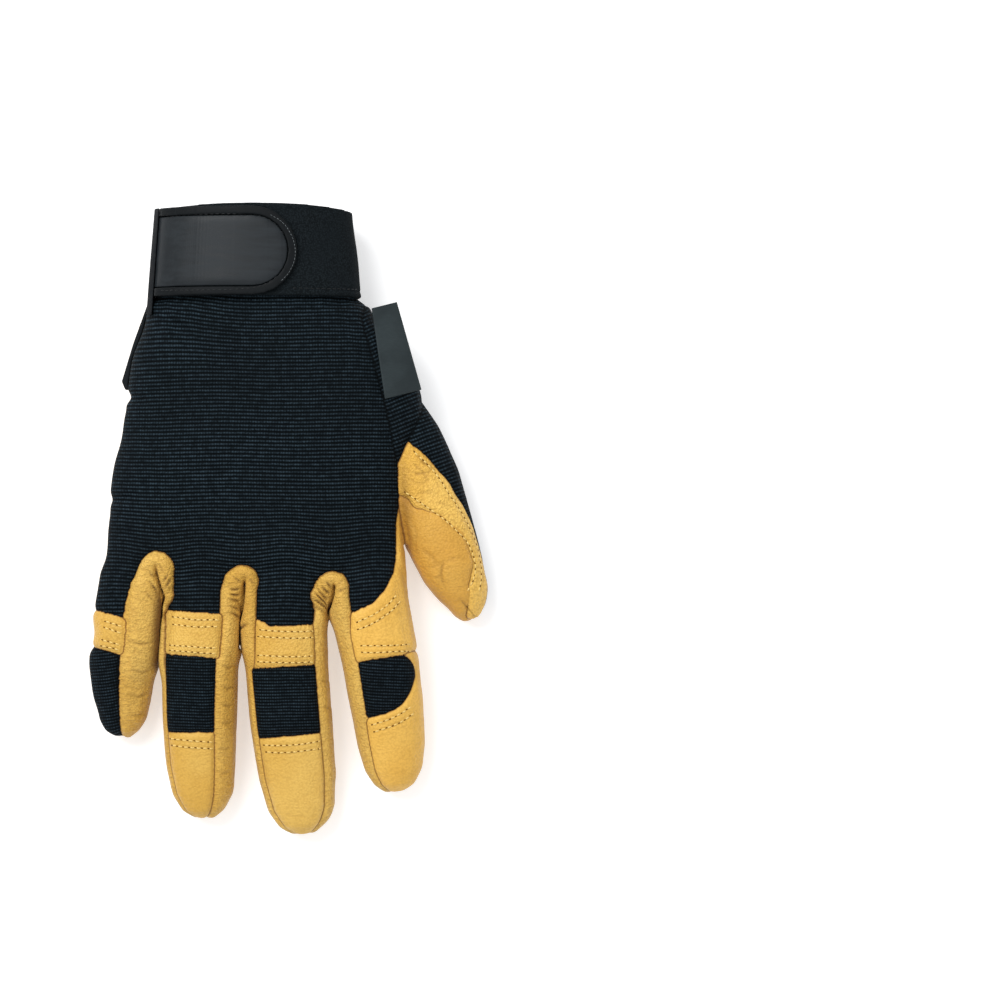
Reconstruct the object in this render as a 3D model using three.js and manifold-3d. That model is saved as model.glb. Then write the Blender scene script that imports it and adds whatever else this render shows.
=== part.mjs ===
// Right-hand work glove, lying palm down: knit back, leather palm, elastic cuff with a closing strap.
// Millimetres, +Z up. The fingers point to -Y and the thumb lies on the +X side.
// The glove is one hollow form, cut along its seams into the panels that it is sewn from.
import * as THREE from "three";
import { mergeVertices } from "three/addons/utils/BufferGeometryUtils.js";
import Module from "manifold-3d";

const wasm = await Module();
wasm.setup();

// Driving sizes
const HAND_LENGTH = 123; // from the cuff's edge to the webs between the fingers
const HAND_WIDTH = 119; // across the knuckles
const HAND_THICKNESS = 40;
const HAND_SQUARENESS = 2.5; // 2 is an ellipse, and more is boxier
const FINGER_LENGTH = 102; // the middle finger's, from the knuckle line
const FINGER_WIDTH = 31.5;
const FINGER_THICKNESS = 26;
const THUMB_LENGTH = 94;
const THUMB_WIDTH = 26;
const THUMB_THICKNESS = 25;
const DIGIT_SQUARENESS = 2.3;
const PANEL_WALL = 1.6; // leather or knit with its turned seams
const SEAM_GAP = 0.3; // between neighbouring panels
const SEAM_HEIGHT = 0.42; // of the palm seam, as a share of the thickness there
const CUFF_LENGTH = 33.5;
const CUFF_WIDTH = 82; // at the hand side
const CUFF_TOP_WIDTH = 75.5; // at the open end
const CUFF_THICKNESS = 43;
const CUFF_WALL = 2.2;
const CUFF_SQUARENESS = 2.2;
const CUFF_BOW = 2.3; // how far the open end's rim runs out over the back and the palm
const TUCK = 6; // how deep the hand goes into the cuff
const STRAP_LENGTH = 54.5; // from the hem to the round end
const STRAP_WIDTH = 34;
const STRAP_THICKNESS = 1.5;
const STRAP_SLANT = 0.07; // of its root against the glove's length
const BINDING_WIDTH = 3.2;
const BINDING_THICKNESS = 2.1;
const HEM_WIDTH = 2;
const HEM_LENGTH = 41;
const LABEL_LENGTH = 34;
const LABEL_WIDTH = 15.5;
const LABEL_TUCK = 4.8; // how much of its width lies under the fold at its upper end
const LABEL_THICKNESS = 0.9;
const LABEL_LIFT = 0.75; // over the highest point of the hand below it
const LABEL_START = 0.045; // as a share of HAND_LENGTH from the cuff
const LABEL_LEAN = 0.42; // how steeply it falls outwards
const TAB_LENGTH = 33;
const TAB_REACH = 2.8; // how far the pull tab stands out of the side
const TAB_THICKNESS = 3;
const TAB_START = 0.02; // as a share of HAND_LENGTH from the cuff

// Room left around the bodies that cut the panels out of the hand
const CUTTER_MARGIN = 1.5;
const CUTTER_REACH = 6; // past a fingertip
const SIDE_MARGIN = 4; // beside the hand
const LOOP_MARGIN = 1.2; // beside a finger at the leather between two of them
const PAST_TIP = 1.1; // of a digit's length, to which a cutter runs
const LEAST_RADIUS = 4; // at which a seam's margin is still measured
const STRAP_INSET = 1.4; // of the strap's root from the hem
const STRAP_RISE = 0.5; // of the strap's middle line towards the open end

// How many corners each section has
const HAND_CORNERS = 24; // the cuff's too
const DIGIT_CORNERS = 14;

// Sections of the hand. along is a share of HAND_LENGTH from the cuff, left and right are shares of
// HAND_WIDTH from the middle line, and top and bottom shares of HAND_THICKNESS.
const HAND_SECTIONS = [
  { along: 0.03, left: 0.332, right: 0.37, top: 1.02, bottom: -0.04 },
  { along: 0.1, left: 0.352, right: 0.452, top: 1.04, bottom: -0.05 },
  { along: 0.19, left: 0.387, right: 0.52, top: 1.04, bottom: -0.05 },
  { along: 0.27, left: 0.4, right: 0.552, top: 1.03, bottom: -0.05 },
  { along: 0.31, left: 0.391, right: 0.565, top: 1.03, bottom: -0.05 },
  { along: 0.36, left: 0.41, right: 0.57, top: 1.02, bottom: -0.04 },
  { along: 0.44, left: 0.42, right: 0.545, top: 1.01, bottom: -0.03 },
  { along: 0.52, left: 0.446, right: 0.51, top: 1.0, bottom: -0.02 },
  { along: 0.59, left: 0.46, right: 0.497, top: 0.99, bottom: 0 },
  { along: 0.64, left: 0.454, right: 0.497, top: 0.98, bottom: 0.02 },
  { along: 0.71, left: 0.464, right: 0.499, top: 0.96, bottom: 0.04 },
  { along: 0.82, left: 0.471, right: 0.507, top: 0.92, bottom: 0.08 },
  { along: 0.9, left: 0.485, right: 0.514, top: 0.82, bottom: 0.12 },
  { along: 0.96, left: 0.485, right: 0.52, top: 0.68, bottom: 0.17 },
  { along: 1.0, left: 0.47, right: 0.51, top: 0.54, bottom: 0.24 },
];

// The fingers. root and tip are places across, as shares of HAND_WIDTH from the middle line, bow a bend
// sideways, length, width and thick shares of the middle finger's, and taper how much of its width a
// finger loses towards its tip.
const FINGERS = [
  { name: "little", root: -0.366, tip: -0.427, bow: -0.022, length: 0.622, width: 0.89, thick: 0.9, taper: 0.14 },
  { name: "ring", root: -0.144, tip: -0.158, bow: -0.014, length: 0.94, width: 0.955, thick: 0.97, taper: 0 },
  { name: "middle", root: 0.104, tip: 0.173, bow: -0.01, length: 1.0, width: 1.02, thick: 1.0, taper: -0.03 },
  { name: "index", root: 0.371, tip: 0.472, bow: 0.018, length: 0.838, width: 0.94, thick: 0.97, taper: 0.04 },
];
const FINGER_ROOT = 0.873; // the knuckle line, as a share of HAND_LENGTH
const THUMB_ROOT = { along: 0.305, across: 0.44 };
const THUMB_TIP = { along: 1.0, across: 0.722 };
const THUMB_BOW = 0.003;

// How a finger's width, thickness and height above the ground run from its root to its tip.
// width and thickness are shares of its own, and lift is a share of its thickness.
const FINGER_PROFILE = [
  { at: -0.14, width: 0.9, thickness: 1.08, lift: 0.22 },
  { at: 0.04, width: 1.04, thickness: 1.1, lift: 0.27 },
  { at: 0.36, width: 1.0, thickness: 1.0, lift: 0.24 },
  { at: 0.58, width: 0.97, thickness: 0.94, lift: 0.13 },
  { at: 0.78, width: 0.91, thickness: 0.83, lift: 0.02 },
  { at: 0.9, width: 0.78, thickness: 0.72, lift: 0.0 },
  { at: 0.965, width: 0.55, thickness: 0.54, lift: 0.08 },
  { at: 1.0, width: 0.26, thickness: 0.26, lift: 0.2 },
];
const THUMB_PROFILE = [
  { at: 0.0, width: 0.9, thickness: 0.96, lift: 0.1 },
  { at: 0.2, width: 1.16, thickness: 1.04, lift: 0.08 },
  { at: 0.4, width: 1.25, thickness: 1.02, lift: 0.08 },
  { at: 0.6, width: 1.1, thickness: 0.98, lift: 0.06 },
  { at: 0.78, width: 0.95, thickness: 0.92, lift: 0.03 },
  { at: 0.89, width: 0.77, thickness: 0.78, lift: 0.0 },
  { at: 0.96, width: 0.53, thickness: 0.56, lift: 0.06 },
  { at: 1.0, width: 0.26, thickness: 0.28, lift: 0.2 },
];

// Seams round each digit, in degrees from its +X side over the top. near and far bound the panel on
// its back, at its root and at its tip.
const BACK_SEAMS = {
  little: { near: [97, 92], far: [200, 200] },
  ring: { near: [64, 68], far: [158, 150] },
  middle: { near: [42, 42], far: [148, 146] },
  index: { near: [-25, -25], far: [124, 128] },
};
// Where the panels on the fingers' backs begin and end, as shares of each finger's length.
const BACK_PANELS = {
  little: { band: 0.265, insert: 0.47, cap: null },
  ring: { band: 0.163, insert: 0.328, cap: 0.643 },
  middle: { band: 0.195, insert: 0.35, cap: 0.617 },
  index: { band: null, insert: 0.378, cap: null },
};
// The thumb's seams, in degrees as above: the knit's lower and upper edge, and the strip's far edge.
const THUMB_SEAMS = [
  { at: 0.0, under: -100, knit: 100, strip: 160 },
  { at: 0.2, under: -98, knit: 84, strip: 150 },
  { at: 0.34, under: -97, knit: 62, strip: 136 },
  { at: 0.47, under: -95, knit: 42, strip: 110 },
  { at: 0.57, under: -88, knit: 24, strip: 76 },
  { at: 0.66, under: -82, knit: 8, strip: 51 },
  { at: 0.78, under: -72, knit: 4, strip: 46 },
  { at: 0.89, under: -60, knit: 3, strip: 75 },
  { at: 1.0, under: -50, knit: 3, strip: 120 },
];

// The knit's edge round each leather loop between two fingers, from the thumb's side to the other.
// across is a share of HAND_WIDTH and along of HAND_LENGTH.
const LOOP_EDGES = {
  fourchette_little_ring: [
    { across: -0.272, along: 0.985 },
    { across: -0.245, along: 0.948 },
    { across: -0.24, along: 0.89 },
    { across: -0.259, along: 0.828 },
    { across: -0.302, along: 0.797 },
    { across: -0.352, along: 0.845 },
    { across: -0.385, along: 0.915 },
    { across: -0.407, along: 1.01 },
  ],
  fourchette_ring_middle: [
    { across: 0.019, along: 1.015 },
    { across: 0.028, along: 0.95 },
    { across: 0.028, along: 0.91 },
    { across: 0.01, along: 0.86 },
    { across: -0.026, along: 0.843 },
    { across: -0.067, along: 0.868 },
    { across: -0.085, along: 0.92 },
    { across: -0.088, along: 1.003 },
  ],
  fourchette_middle_index: [
    { across: 0.335, along: 1.003 },
    { across: 0.33, along: 0.955 },
    { across: 0.322, along: 0.91 },
    { across: 0.304, along: 0.876 },
    { across: 0.27, along: 0.865 },
    { across: 0.232, along: 0.888 },
    { across: 0.205, along: 0.935 },
    { across: 0.219, along: 0.975 },
    { across: 0.218, along: 1.025 },
  ],
};
// The outline of the knit window in the index finger. at is a share of the finger's length, and
// aside a share of its half width from its middle line.
const INDEX_WINDOW = [
  { at: 0.37, aside: -1.1 },
  { at: 0.372, aside: 0.5 },
  { at: 0.388, aside: 0.78 },
  { at: 0.43, aside: 0.9 },
  { at: 0.484, aside: 0.9 },
  { at: 0.549, aside: 0.72 },
  { at: 0.604, aside: 0.42 },
  { at: 0.64, aside: -0.03 },
  { at: 0.656, aside: -0.5 },
  { at: 0.662, aside: -1.1 },
];
// The thumb-side edge of the back panel, and the gusset's palm edge, with the same shares.
const BACK_EDGE = [
  { along: -0.1, across: 0.36 },
  { along: 0.05, across: 0.366 },
  { along: 0.16, across: 0.4 },
  { along: 0.32, across: 0.446 },
  { along: 0.42, across: 0.468 },
  { along: 0.52, across: 0.487 },
  { along: 0.7, across: 0.487 },
  { along: 0.81, across: 0.484 },
];
const BACK_EDGE_CURVE = [
  { along: 0.865, across: 0.478 },
  { along: 0.92, across: 0.45 },
  { along: 0.965, across: 0.405 },
  { along: 0.995, across: 0.335 },
];
const GUSSET_PALM_EDGE = [
  { along: -0.1, across: 0.17 },
  { along: 0.03, across: 0.19 },
  { along: 0.2, across: 0.33 },
  { along: 0.36, across: 0.45 },
  { along: 0.47, across: 0.6 },
  { along: 0.6, across: 0.75 },
  { along: 1.3, across: 0.75 },
];
const GUSSET_END = 0.525; // where the gusset's knit stops and leather begins, as a share of HAND_LENGTH

const REACH = 300; // a cutter runs past the glove by this much
const UP = new THREE.Vector3(0, 0, 1);

const degrees = (angle) => (angle * Math.PI) / 180;
const yAt = (along) => HAND_LENGTH * (1 - along);
const xAt = (across) => HAND_WIDTH * across;

// A value of a table's column between two rows.
function between(rows, place, column, key = "at") {
  const next = rows.findIndex((row) => row[key] > place);
  if (next === 0) return rows[0][column];
  if (next < 0) return rows[rows.length - 1][column];
  const [a, b] = [rows[next - 1], rows[next]];
  return THREE.MathUtils.mapLinear(place, a[key], b[key], a[column], b[column]);
}

// A point of a rounded box with half sizes 1, at an angle in radians.
function squircle(angle, squareness) {
  const [c, s] = [Math.cos(angle), Math.sin(angle)];
  const power = 2 / squareness;
  return [Math.sign(c) * Math.abs(c) ** power, Math.sign(s) * Math.abs(s) ** power];
}

// A closed mesh as a solid, with its faces turned outwards.
function solidOf(geometry) {
  const bare = new THREE.BufferGeometry().setAttribute("position", geometry.getAttribute("position"));
  if (geometry.index) bare.setIndex(geometry.index);
  const merged = mergeVertices(bare, 1e-4);
  const points = merged.getAttribute("position").array;
  const corners = new Uint32Array(merged.index.array);
  const [a, b, c] = [new THREE.Vector3(), new THREE.Vector3(), new THREE.Vector3()];
  let volume = 0;
  for (let i = 0; i < corners.length; i += 3) {
    a.fromArray(points, corners[i] * 3);
    b.fromArray(points, corners[i + 1] * 3);
    c.fromArray(points, corners[i + 2] * 3);
    volume += a.dot(b.cross(c));
  }
  if (volume < 0) {
    for (let i = 0; i < corners.length; i += 3) {
      [corners[i + 1], corners[i + 2]] = [corners[i + 2], corners[i + 1]];
    }
  }
  return new wasm.Manifold(new wasm.Mesh({ numProp: 3, vertProperties: points, triVerts: corners }));
}

// A solid through rings of points, each ring with as many points as the others.
function loft(rings) {
  const count = rings[0].length;
  const points = rings.flat();
  const faces = [];
  for (let r = 0; r + 1 < rings.length; r++) {
    for (let k = 0; k < count; k++) {
      const [a, b] = [r * count + k, r * count + ((k + 1) % count)];
      faces.push(a, b, a + count, b, b + count, a + count);
    }
  }
  for (const [ring, turned] of [[0, true], [rings.length - 1, false]]) {
    const middle = new THREE.Vector3();
    rings[ring].forEach((p) => middle.add(p));
    points.push(middle.divideScalar(count));
    for (let k = 0; k < count; k++) {
      const [a, b] = [ring * count + k, ring * count + ((k + 1) % count)];
      faces.push(...(turned ? [b, a] : [a, b]), points.length - 1);
    }
  }
  const geometry = new THREE.BufferGeometry().setFromPoints(points);
  geometry.setIndex(faces);
  return solidOf(geometry);
}

// An upright prism on an outline of [x, y] points.
function prism(outline, low = -REACH, high = REACH) {
  const shape = new THREE.Shape(outline.map(([x, y]) => new THREE.Vector2(x, y)));
  const geometry = new THREE.ExtrudeGeometry(shape, { depth: high - low, bevelEnabled: false });
  return solidOf(geometry.translate(0, 0, low));
}

// The same outline moved outwards by grow. The outline runs anticlockwise.
function grown(outline, grow) {
  const count = outline.length;
  return outline.map(([x, y], i) => {
    const before = outline[(i + count - 1) % count];
    const after = outline[(i + 1) % count];
    const into = new THREE.Vector2(x - before[0], y - before[1]).normalize();
    const out = new THREE.Vector2(after[0] - x, after[1] - y).normalize();
    const normal = new THREE.Vector2(into.y + out.y, -into.x - out.x).normalize();
    const reach = grow / Math.max(0.5, normal.x * into.y - normal.y * into.x);
    return [x + normal.x * reach, y + normal.y * reach];
  });
}

// The cuff's half sizes at a share of its length from the hand.
function cuffHalf(share) {
  const width = THREE.MathUtils.lerp(CUFF_WIDTH, CUFF_TOP_WIDTH, share);
  return { across: width / 2, up: CUFF_THICKNESS / 2 };
}

const CUFF_MIDDLE = xAt(0.021);

// The cuff's section at a distance y from the webs, thicker by grow.
function cuffRing(y, grow, bow = 0) {
  const half = cuffHalf((y - HAND_LENGTH) / CUFF_LENGTH);
  const ring = [];
  for (let k = 0; k < HAND_CORNERS; k++) {
    const [c, s] = squircle((k / HAND_CORNERS) * 2 * Math.PI, CUFF_SQUARENESS);
    ring.push(
      new THREE.Vector3(
        CUFF_MIDDLE + (half.across + grow) * c,
        y + bow * Math.abs(s) ** 2,
        half.up + (half.up + grow) * s,
      ),
    );
  }
  return ring;
}

// The hand's form, thicker by grow. Its underside is flat where it rests.
function handForm(grow) {
  const rings = [];
  const tucked = cuffHalf(TUCK / CUFF_LENGTH);
  const inside = -CUFF_WALL - SEAM_GAP + grow;
  const past = grow < 0 ? CUFF_LENGTH : TUCK; // an inner form opens the end
  for (const y of [HAND_LENGTH + past, HAND_LENGTH - SEAM_GAP]) {
    const ring = [];
    for (let k = 0; k < HAND_CORNERS; k++) {
      const [c, s] = squircle((k / HAND_CORNERS) * 2 * Math.PI, CUFF_SQUARENESS);
      const z = tucked.up + (tucked.up + inside) * s;
      ring.push(new THREE.Vector3(CUFF_MIDDLE + (tucked.across + inside) * c, y, z));
    }
    rings.push(ring);
  }
  for (const { along, left, right, top, bottom } of HAND_SECTIONS) {
    const middle = xAt((right - left) / 2);
    const half = xAt((left + right) / 2) + grow;
    const high = HAND_THICKNESS * top + grow;
    const low = HAND_THICKNESS * bottom - grow;
    const last = along === 1 ? grow : 0;
    const ring = [];
    for (let k = 0; k < HAND_CORNERS; k++) {
      const [c, s] = squircle((k / HAND_CORNERS) * 2 * Math.PI, HAND_SQUARENESS);
      const z = (high + low) / 2 + ((high - low) / 2) * s;
      ring.push(new THREE.Vector3(middle + half * c, yAt(along) - last, Math.max(z, -grow)));
    }
    rings.push(ring);
  }
  return loft(rings);
}

// The height of the hand's back at a place along and across it.
function backHeight(along, x) {
  const at = (column) => between(HAND_SECTIONS, along, column, "along");
  const middle = xAt((at("right") - at("left")) / 2);
  const share = Math.min(1, Math.abs(x - middle) / xAt((at("left") + at("right")) / 2));
  const up = (HAND_THICKNESS * (at("top") - at("bottom"))) / 2;
  const z = (HAND_THICKNESS * (at("top") + at("bottom"))) / 2;
  return z + up * (1 - share ** HAND_SQUARENESS) ** (1 / HAND_SQUARENESS);
}

// A digit's frame at a share of its length: its middle, its half sizes and the way to its side.
function digitAt(digit, at, grow = 0) {
  const along = (at * (digit.length + grow)) / digit.length;
  const taper = 1 - digit.taper * THREE.MathUtils.smoothstep(at, 0.3, 0.9);
  const half = {
    across: (digit.width * taper * between(digit.profile, at, "width")) / 2,
    up: (digit.thickness * between(digit.profile, at, "thickness")) / 2,
  };
  const lift = digit.thickness * between(digit.profile, at, "lift");
  const middle = digit.path(along);
  const ahead = digit.path(along + 0.01).sub(middle);
  const side = new THREE.Vector3().crossVectors(UP, ahead).normalize();
  middle.z = lift + half.up;
  return { middle, half, side: side.x < 0 ? side.negate() : side };
}

// A point round a digit at an angle in degrees, with its half sizes scaled and grown.
function roundDigit(frame, angle, scale = 1, grow = 0) {
  const [c, s] = squircle(degrees(angle), DIGIT_SQUARENESS);
  const across = Math.max(0.5, frame.half.across * scale + grow);
  const up = Math.max(0.5, frame.half.up * scale + grow);
  return frame.middle.clone().addScaledVector(frame.side, across * c).addScaledVector(UP, up * s);
}

function digitForm(digit, grow) {
  return loft(
    digit.profile.map(({ at }) => {
      const frame = digitAt(digit, at, grow);
      const corners = Array.from({ length: DIGIT_CORNERS }, (_, k) => (k / DIGIT_CORNERS) * 360);
      return corners.map((angle) => roundDigit(frame, angle, 1, grow));
    }),
  );
}

// The wedge of a digit between two seams, from one share of its length to another. Its cut faces
// stand square to the wall. grow widens it by that much all round.
function digitWedge(digit, from, to, near, far, grow = 0) {
  const stops = (digit.seams ?? digit.profile).map((row) => row.at).filter((at) => at > from && at < to);
  const step = grow / digit.length;
  const rings = [from - step, ...stops, to + step].map((at) => {
    const frame = digitAt(digit, at);
    const margin = THREE.MathUtils.radToDeg(grow / Math.max(LEAST_RADIUS, frame.half.across));
    const [a, b] = [near(at) - margin, far(at) + margin];
    const arc = [0, 0.2, 0.4, 0.6, 0.8, 1].map((share) =>
      roundDigit(frame, THREE.MathUtils.lerp(a, b, share), 1.12, CUTTER_MARGIN),
    );
    return [frame.middle, ...arc];
  });
  if (to > 1) {
    const past = rings[rings.length - 1];
    const out = digit.path(1).sub(digit.path(0.9)).setZ(0).normalize().multiplyScalar(CUTTER_REACH);
    rings.push(past.map((p) => p.clone().add(out)));
  }
  return loft(rings);
}

function straightPath(root, tip, bow) {
  return (along) => {
    const point = new THREE.Vector3().lerpVectors(root, tip, along);
    point.x += bow * Math.sin(Math.PI * THREE.MathUtils.clamp(along, 0, 1));
    return point;
  };
}

const fingers = FINGERS.map((row) => {
  const length = FINGER_LENGTH * row.length;
  const rootY = yAt(FINGER_ROOT);
  const root = new THREE.Vector3(xAt(row.root), rootY, 0);
  const tip = new THREE.Vector3(xAt(row.tip), rootY - length, 0);
  return {
    name: row.name,
    length,
    width: FINGER_WIDTH * row.width,
    thickness: FINGER_THICKNESS * row.thick,
    taper: row.taper,
    profile: FINGER_PROFILE,
    path: straightPath(root, tip, xAt(row.bow)),
  };
});
const thumbRoot = new THREE.Vector3(xAt(THUMB_ROOT.across), yAt(THUMB_ROOT.along), 0);
const thumbWay = new THREE.Vector3(xAt(THUMB_TIP.across), yAt(THUMB_TIP.along), 0).sub(thumbRoot).normalize();
const thumb = {
  name: "thumb",
  length: THUMB_LENGTH,
  width: THUMB_WIDTH,
  thickness: THUMB_THICKNESS,
  taper: 0,
  profile: THUMB_PROFILE,
  seams: THUMB_SEAMS,
  path: straightPath(
    thumbRoot,
    thumbRoot.clone().addScaledVector(thumbWay, THUMB_LENGTH),
    THUMB_LENGTH * THUMB_BOW,
  ),
};

// The hand with its fingers as one form, thicker by grow.
function handAndFingers(grow) {
  return fingers.reduce((whole, finger) => whole.add(digitForm(finger, grow)), handForm(grow));
}

// The space under the palm seam: below it lies the palm leather. grow lifts its top.
function underPalmSeam(grow) {
  const sections = HAND_SECTIONS.map(({ along, left, top }) => {
    const right = between(GUSSET_PALM_EDGE, along, "across", "along");
    return { y: yAt(along), left: -xAt(left) - SIDE_MARGIN, right: xAt(right), top };
  });
  const first = { ...sections[0], y: yAt(-0.1) };
  first.right = xAt(GUSSET_PALM_EDGE[0].across);
  const last = { ...sections[sections.length - 1], y: yAt(1.0) };
  const rings = [first, ...sections.slice(0, -1), last].map(({ y, left, right, top }) => {
    const high = HAND_THICKNESS * top * SEAM_HEIGHT + grow;
    const corners = [
      [left, -REACH],
      [right + grow, -REACH],
      [right + grow, high],
      [left, high],
    ];
    return corners.map(([x, z]) => new THREE.Vector3(x, y, z));
  });
  return fingers.reduce((whole, finger) => {
    const stops = [-0.02, 0.36, 0.58, 0.76, 0.87, 1.15];
    const fingerRings = stops.map((at) => {
      const frame = digitAt(finger, Math.min(at, 0.94));
      const middle = finger.path(at);
      const half = frame.half.across + LOOP_MARGIN;
      const high = frame.middle.z - frame.half.up + 2 * frame.half.up * (SEAM_HEIGHT - 0.06) + grow;
      const corners = [
        [-half, -REACH],
        [half, -REACH],
        [half, high],
        [-half, high],
      ];
      return corners.map(([across, z]) =>
        new THREE.Vector3(middle.x, middle.y, z).addScaledVector(frame.side, across),
      );
    });
    return whole.add(loft(fingerRings));
  }, loft(rings));
}

// The outline between two fingers' middle lines, closed by the knit's edge round the loop.
function loopOutline(edge, before, after) {
  const tips = (finger) => [1.15, 0.8, 0.5, 0.3].map((at) => finger.path(at)).map((p) => [p.x, p.y]);
  return [...tips(after), ...linePoints(edge), ...tips(before).reverse()];
}

// The outline of the index finger's window.
function windowOutline(index) {
  return INDEX_WINDOW.map(({ at, aside }) => {
    const frame = digitAt(index, at);
    const point = frame.middle.addScaledVector(frame.side, frame.half.across * aside);
    return [point.x, point.y];
  }).reverse();
}

const linePoints = (rows) => rows.map(({ along, across }) => [xAt(across), yAt(along)]);

// The outline of all that lies on the thumb side of the back panel's edge, down to a place along.
function thumbSideOutline(end) {
  const edge = linePoints(BACK_EDGE.filter((row) => row.along < end));
  const endX = xAt(between(BACK_EDGE, end, "across", "along"));
  return [...edge, [endX, yAt(end)], [REACH, yAt(end)], [REACH, yAt(-0.1)]];
}

// The index finger's knuckle strip, which runs up the side of the hand to the gusset.
function indexBandOutline(index, bandEnd) {
  const seam = BACK_SEAMS.index.far;
  const side = [0.12, 0.25, bandEnd].map((at) => {
    const angle = THREE.MathUtils.lerp(seam[0], seam[1], at);
    return roundDigit(digitAt(index, at), angle);
  });
  const start = GUSSET_END + SEAM_GAP / HAND_LENGTH;
  const edge = linePoints(BACK_EDGE.filter((row) => row.along > start));
  const startX = xAt(between(BACK_EDGE, start, "across", "along"));
  const endY = side[side.length - 1].y;
  return [
    [startX, yAt(start)],
    ...edge,
    ...linePoints(BACK_EDGE_CURVE),
    ...side.slice(1).map((p) => [p.x, p.y]),
    [REACH, endY],
    [REACH, yAt(start)],
  ];
}

const LEATHER = { color: 0xdcb25c, roughness: 0.6, metalness: 0 };
const KNIT = { color: 0x10171a, roughness: 0.85, metalness: 0 };
const ELASTIC = { color: 0x0c1013, roughness: 0.95, metalness: 0 };
const SMOOTH_BLACK = { color: 0x24282c, roughness: 0.45, metalness: 0 };
const LABEL_GREY = { color: 0x353c3f, roughness: 0.6, metalness: 0 };

const glove = new THREE.Group();

// Adds a solid to the glove as a named mesh. Crumbs that a cut leaves are dropped.
function addPanel(name, solid, material) {
  const bodies = solid.decompose().sort((a, b) => b.volume() - a.volume());
  const made = bodies[0].getMesh();
  const geometry = new THREE.BufferGeometry();
  geometry.setAttribute("position", new THREE.BufferAttribute(made.vertProperties, 3));
  geometry.setIndex(new THREE.BufferAttribute(made.triVerts, 1));
  geometry.computeVertexNormals();
  const mesh = new THREE.Mesh(geometry, new THREE.MeshStandardMaterial(material));
  mesh.name = name;
  glove.add(mesh);
}

// Hollow forms
const handOuter = handAndFingers(0);
const thumbInner = digitForm(thumb, -PANEL_WALL);
const handShell = handOuter.subtract(handAndFingers(-PANEL_WALL)).subtract(thumbInner);
const thumbShell = digitForm(thumb, 0).subtract(thumbInner).subtract(handAndFingers(SEAM_GAP));

// Palm leather
const palmSpace = underPalmSeam(0);
const palmSpaceGrown = underPalmSeam(SEAM_GAP);
addPanel("palm_panel", handShell.intersect(palmSpace), LEATHER);
const upperShell = handShell.subtract(palmSpaceGrown);

// Panels on the backs of the fingers
const cutFromBack = [];
const lastPanels = {};
for (const finger of fingers) {
  const seams = BACK_SEAMS[finger.name];
  const near = (at) => THREE.MathUtils.lerp(seams.near[0], seams.near[1], at);
  const far = (at) => THREE.MathUtils.lerp(seams.far[0], seams.far[1], at);
  const { band, insert, cap } = BACK_PANELS[finger.name];
  const gap = SEAM_GAP / finger.length;
  if (band !== null) {
    const wedge = digitWedge(finger, band, insert - gap, near, far);
    addPanel(`${finger.name}_band`, upperShell.intersect(wedge), LEATHER);
  }
  if (cap === null) {
    const wedge = digitWedge(finger, insert, PAST_TIP, near, far);
    lastPanels[finger.name] = upperShell.intersect(wedge);
  } else {
    const window = digitWedge(finger, insert, cap - gap, near, far);
    addPanel(`${finger.name}_insert`, upperShell.intersect(window), KNIT);
    const wedge = digitWedge(finger, cap, PAST_TIP, near, far);
    addPanel(`${finger.name}_cap`, upperShell.intersect(wedge), LEATHER);
  }
  cutFromBack.push(digitWedge(finger, band ?? insert, PAST_TIP, near, far, SEAM_GAP));
}
const index = fingers[3];
addPanel("little_tip", lastPanels.little, KNIT);
const knitWindow = windowOutline(index);
addPanel("index_insert", lastPanels.index.intersect(prism(knitWindow)), KNIT);
addPanel("index_cap", lastPanels.index.subtract(prism(grown(knitWindow, SEAM_GAP))), LEATHER);
const indexBand = indexBandOutline(index, BACK_PANELS.index.insert - SEAM_GAP / index.length);
addPanel("index_band", upperShell.intersect(prism(indexBand)).subtract(cutFromBack[3]), LEATHER);
cutFromBack.push(prism(grown(indexBand, SEAM_GAP)));

// Leather loops between the fingers
const betweenFingers = cutFromBack.reduce((left, cutter) => left.subtract(cutter), upperShell);
Object.entries(LOOP_EDGES).forEach(([name, edge], i) => {
  const outline = loopOutline(edge, fingers[i], fingers[i + 1]);
  addPanel(name, betweenFingers.intersect(prism(outline)), LEATHER);
  cutFromBack.push(prism(grown(outline, SEAM_GAP)));
});

// Knit of the hand
const gusset = thumbSideOutline(GUSSET_END);
addPanel("thumb_gusset", upperShell.intersect(prism(gusset)), KNIT);
cutFromBack.push(prism(grown(gusset, SEAM_GAP)));
const back = cutFromBack.reduce((left, cutter) => left.subtract(cutter), upperShell);
addPanel("back_panel", back, KNIT);

// Thumb
const thumbSeam = (column) => (at) => between(THUMB_SEAMS, at, column);
const knitWedge = (grow) => digitWedge(thumb, 0, PAST_TIP, thumbSeam("under"), thumbSeam("knit"), grow);
const stripWedge = (grow) => digitWedge(thumb, 0, PAST_TIP, thumbSeam("knit"), thumbSeam("strip"), grow);
const knitSpace = knitWedge(SEAM_GAP);
addPanel("thumb_back", thumbShell.intersect(knitWedge(0)), KNIT);
addPanel("thumb_strip", thumbShell.intersect(stripWedge(0)).subtract(knitSpace), LEATHER);
addPanel("thumb_palm", thumbShell.subtract(knitSpace).subtract(stripWedge(SEAM_GAP)), LEATHER);

// Cuff
const cuffEnd = HAND_LENGTH + CUFF_LENGTH;
const cuffForm = (grow, bow = 0, past = 0) =>
  loft([cuffRing(HAND_LENGTH - past, grow), cuffRing(cuffEnd + past, grow, bow)]);
addPanel("cuff_band", cuffForm(0, CUFF_BOW).subtract(cuffForm(-CUFF_WALL, 0, REACH / 10)), ELASTIC);

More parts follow.
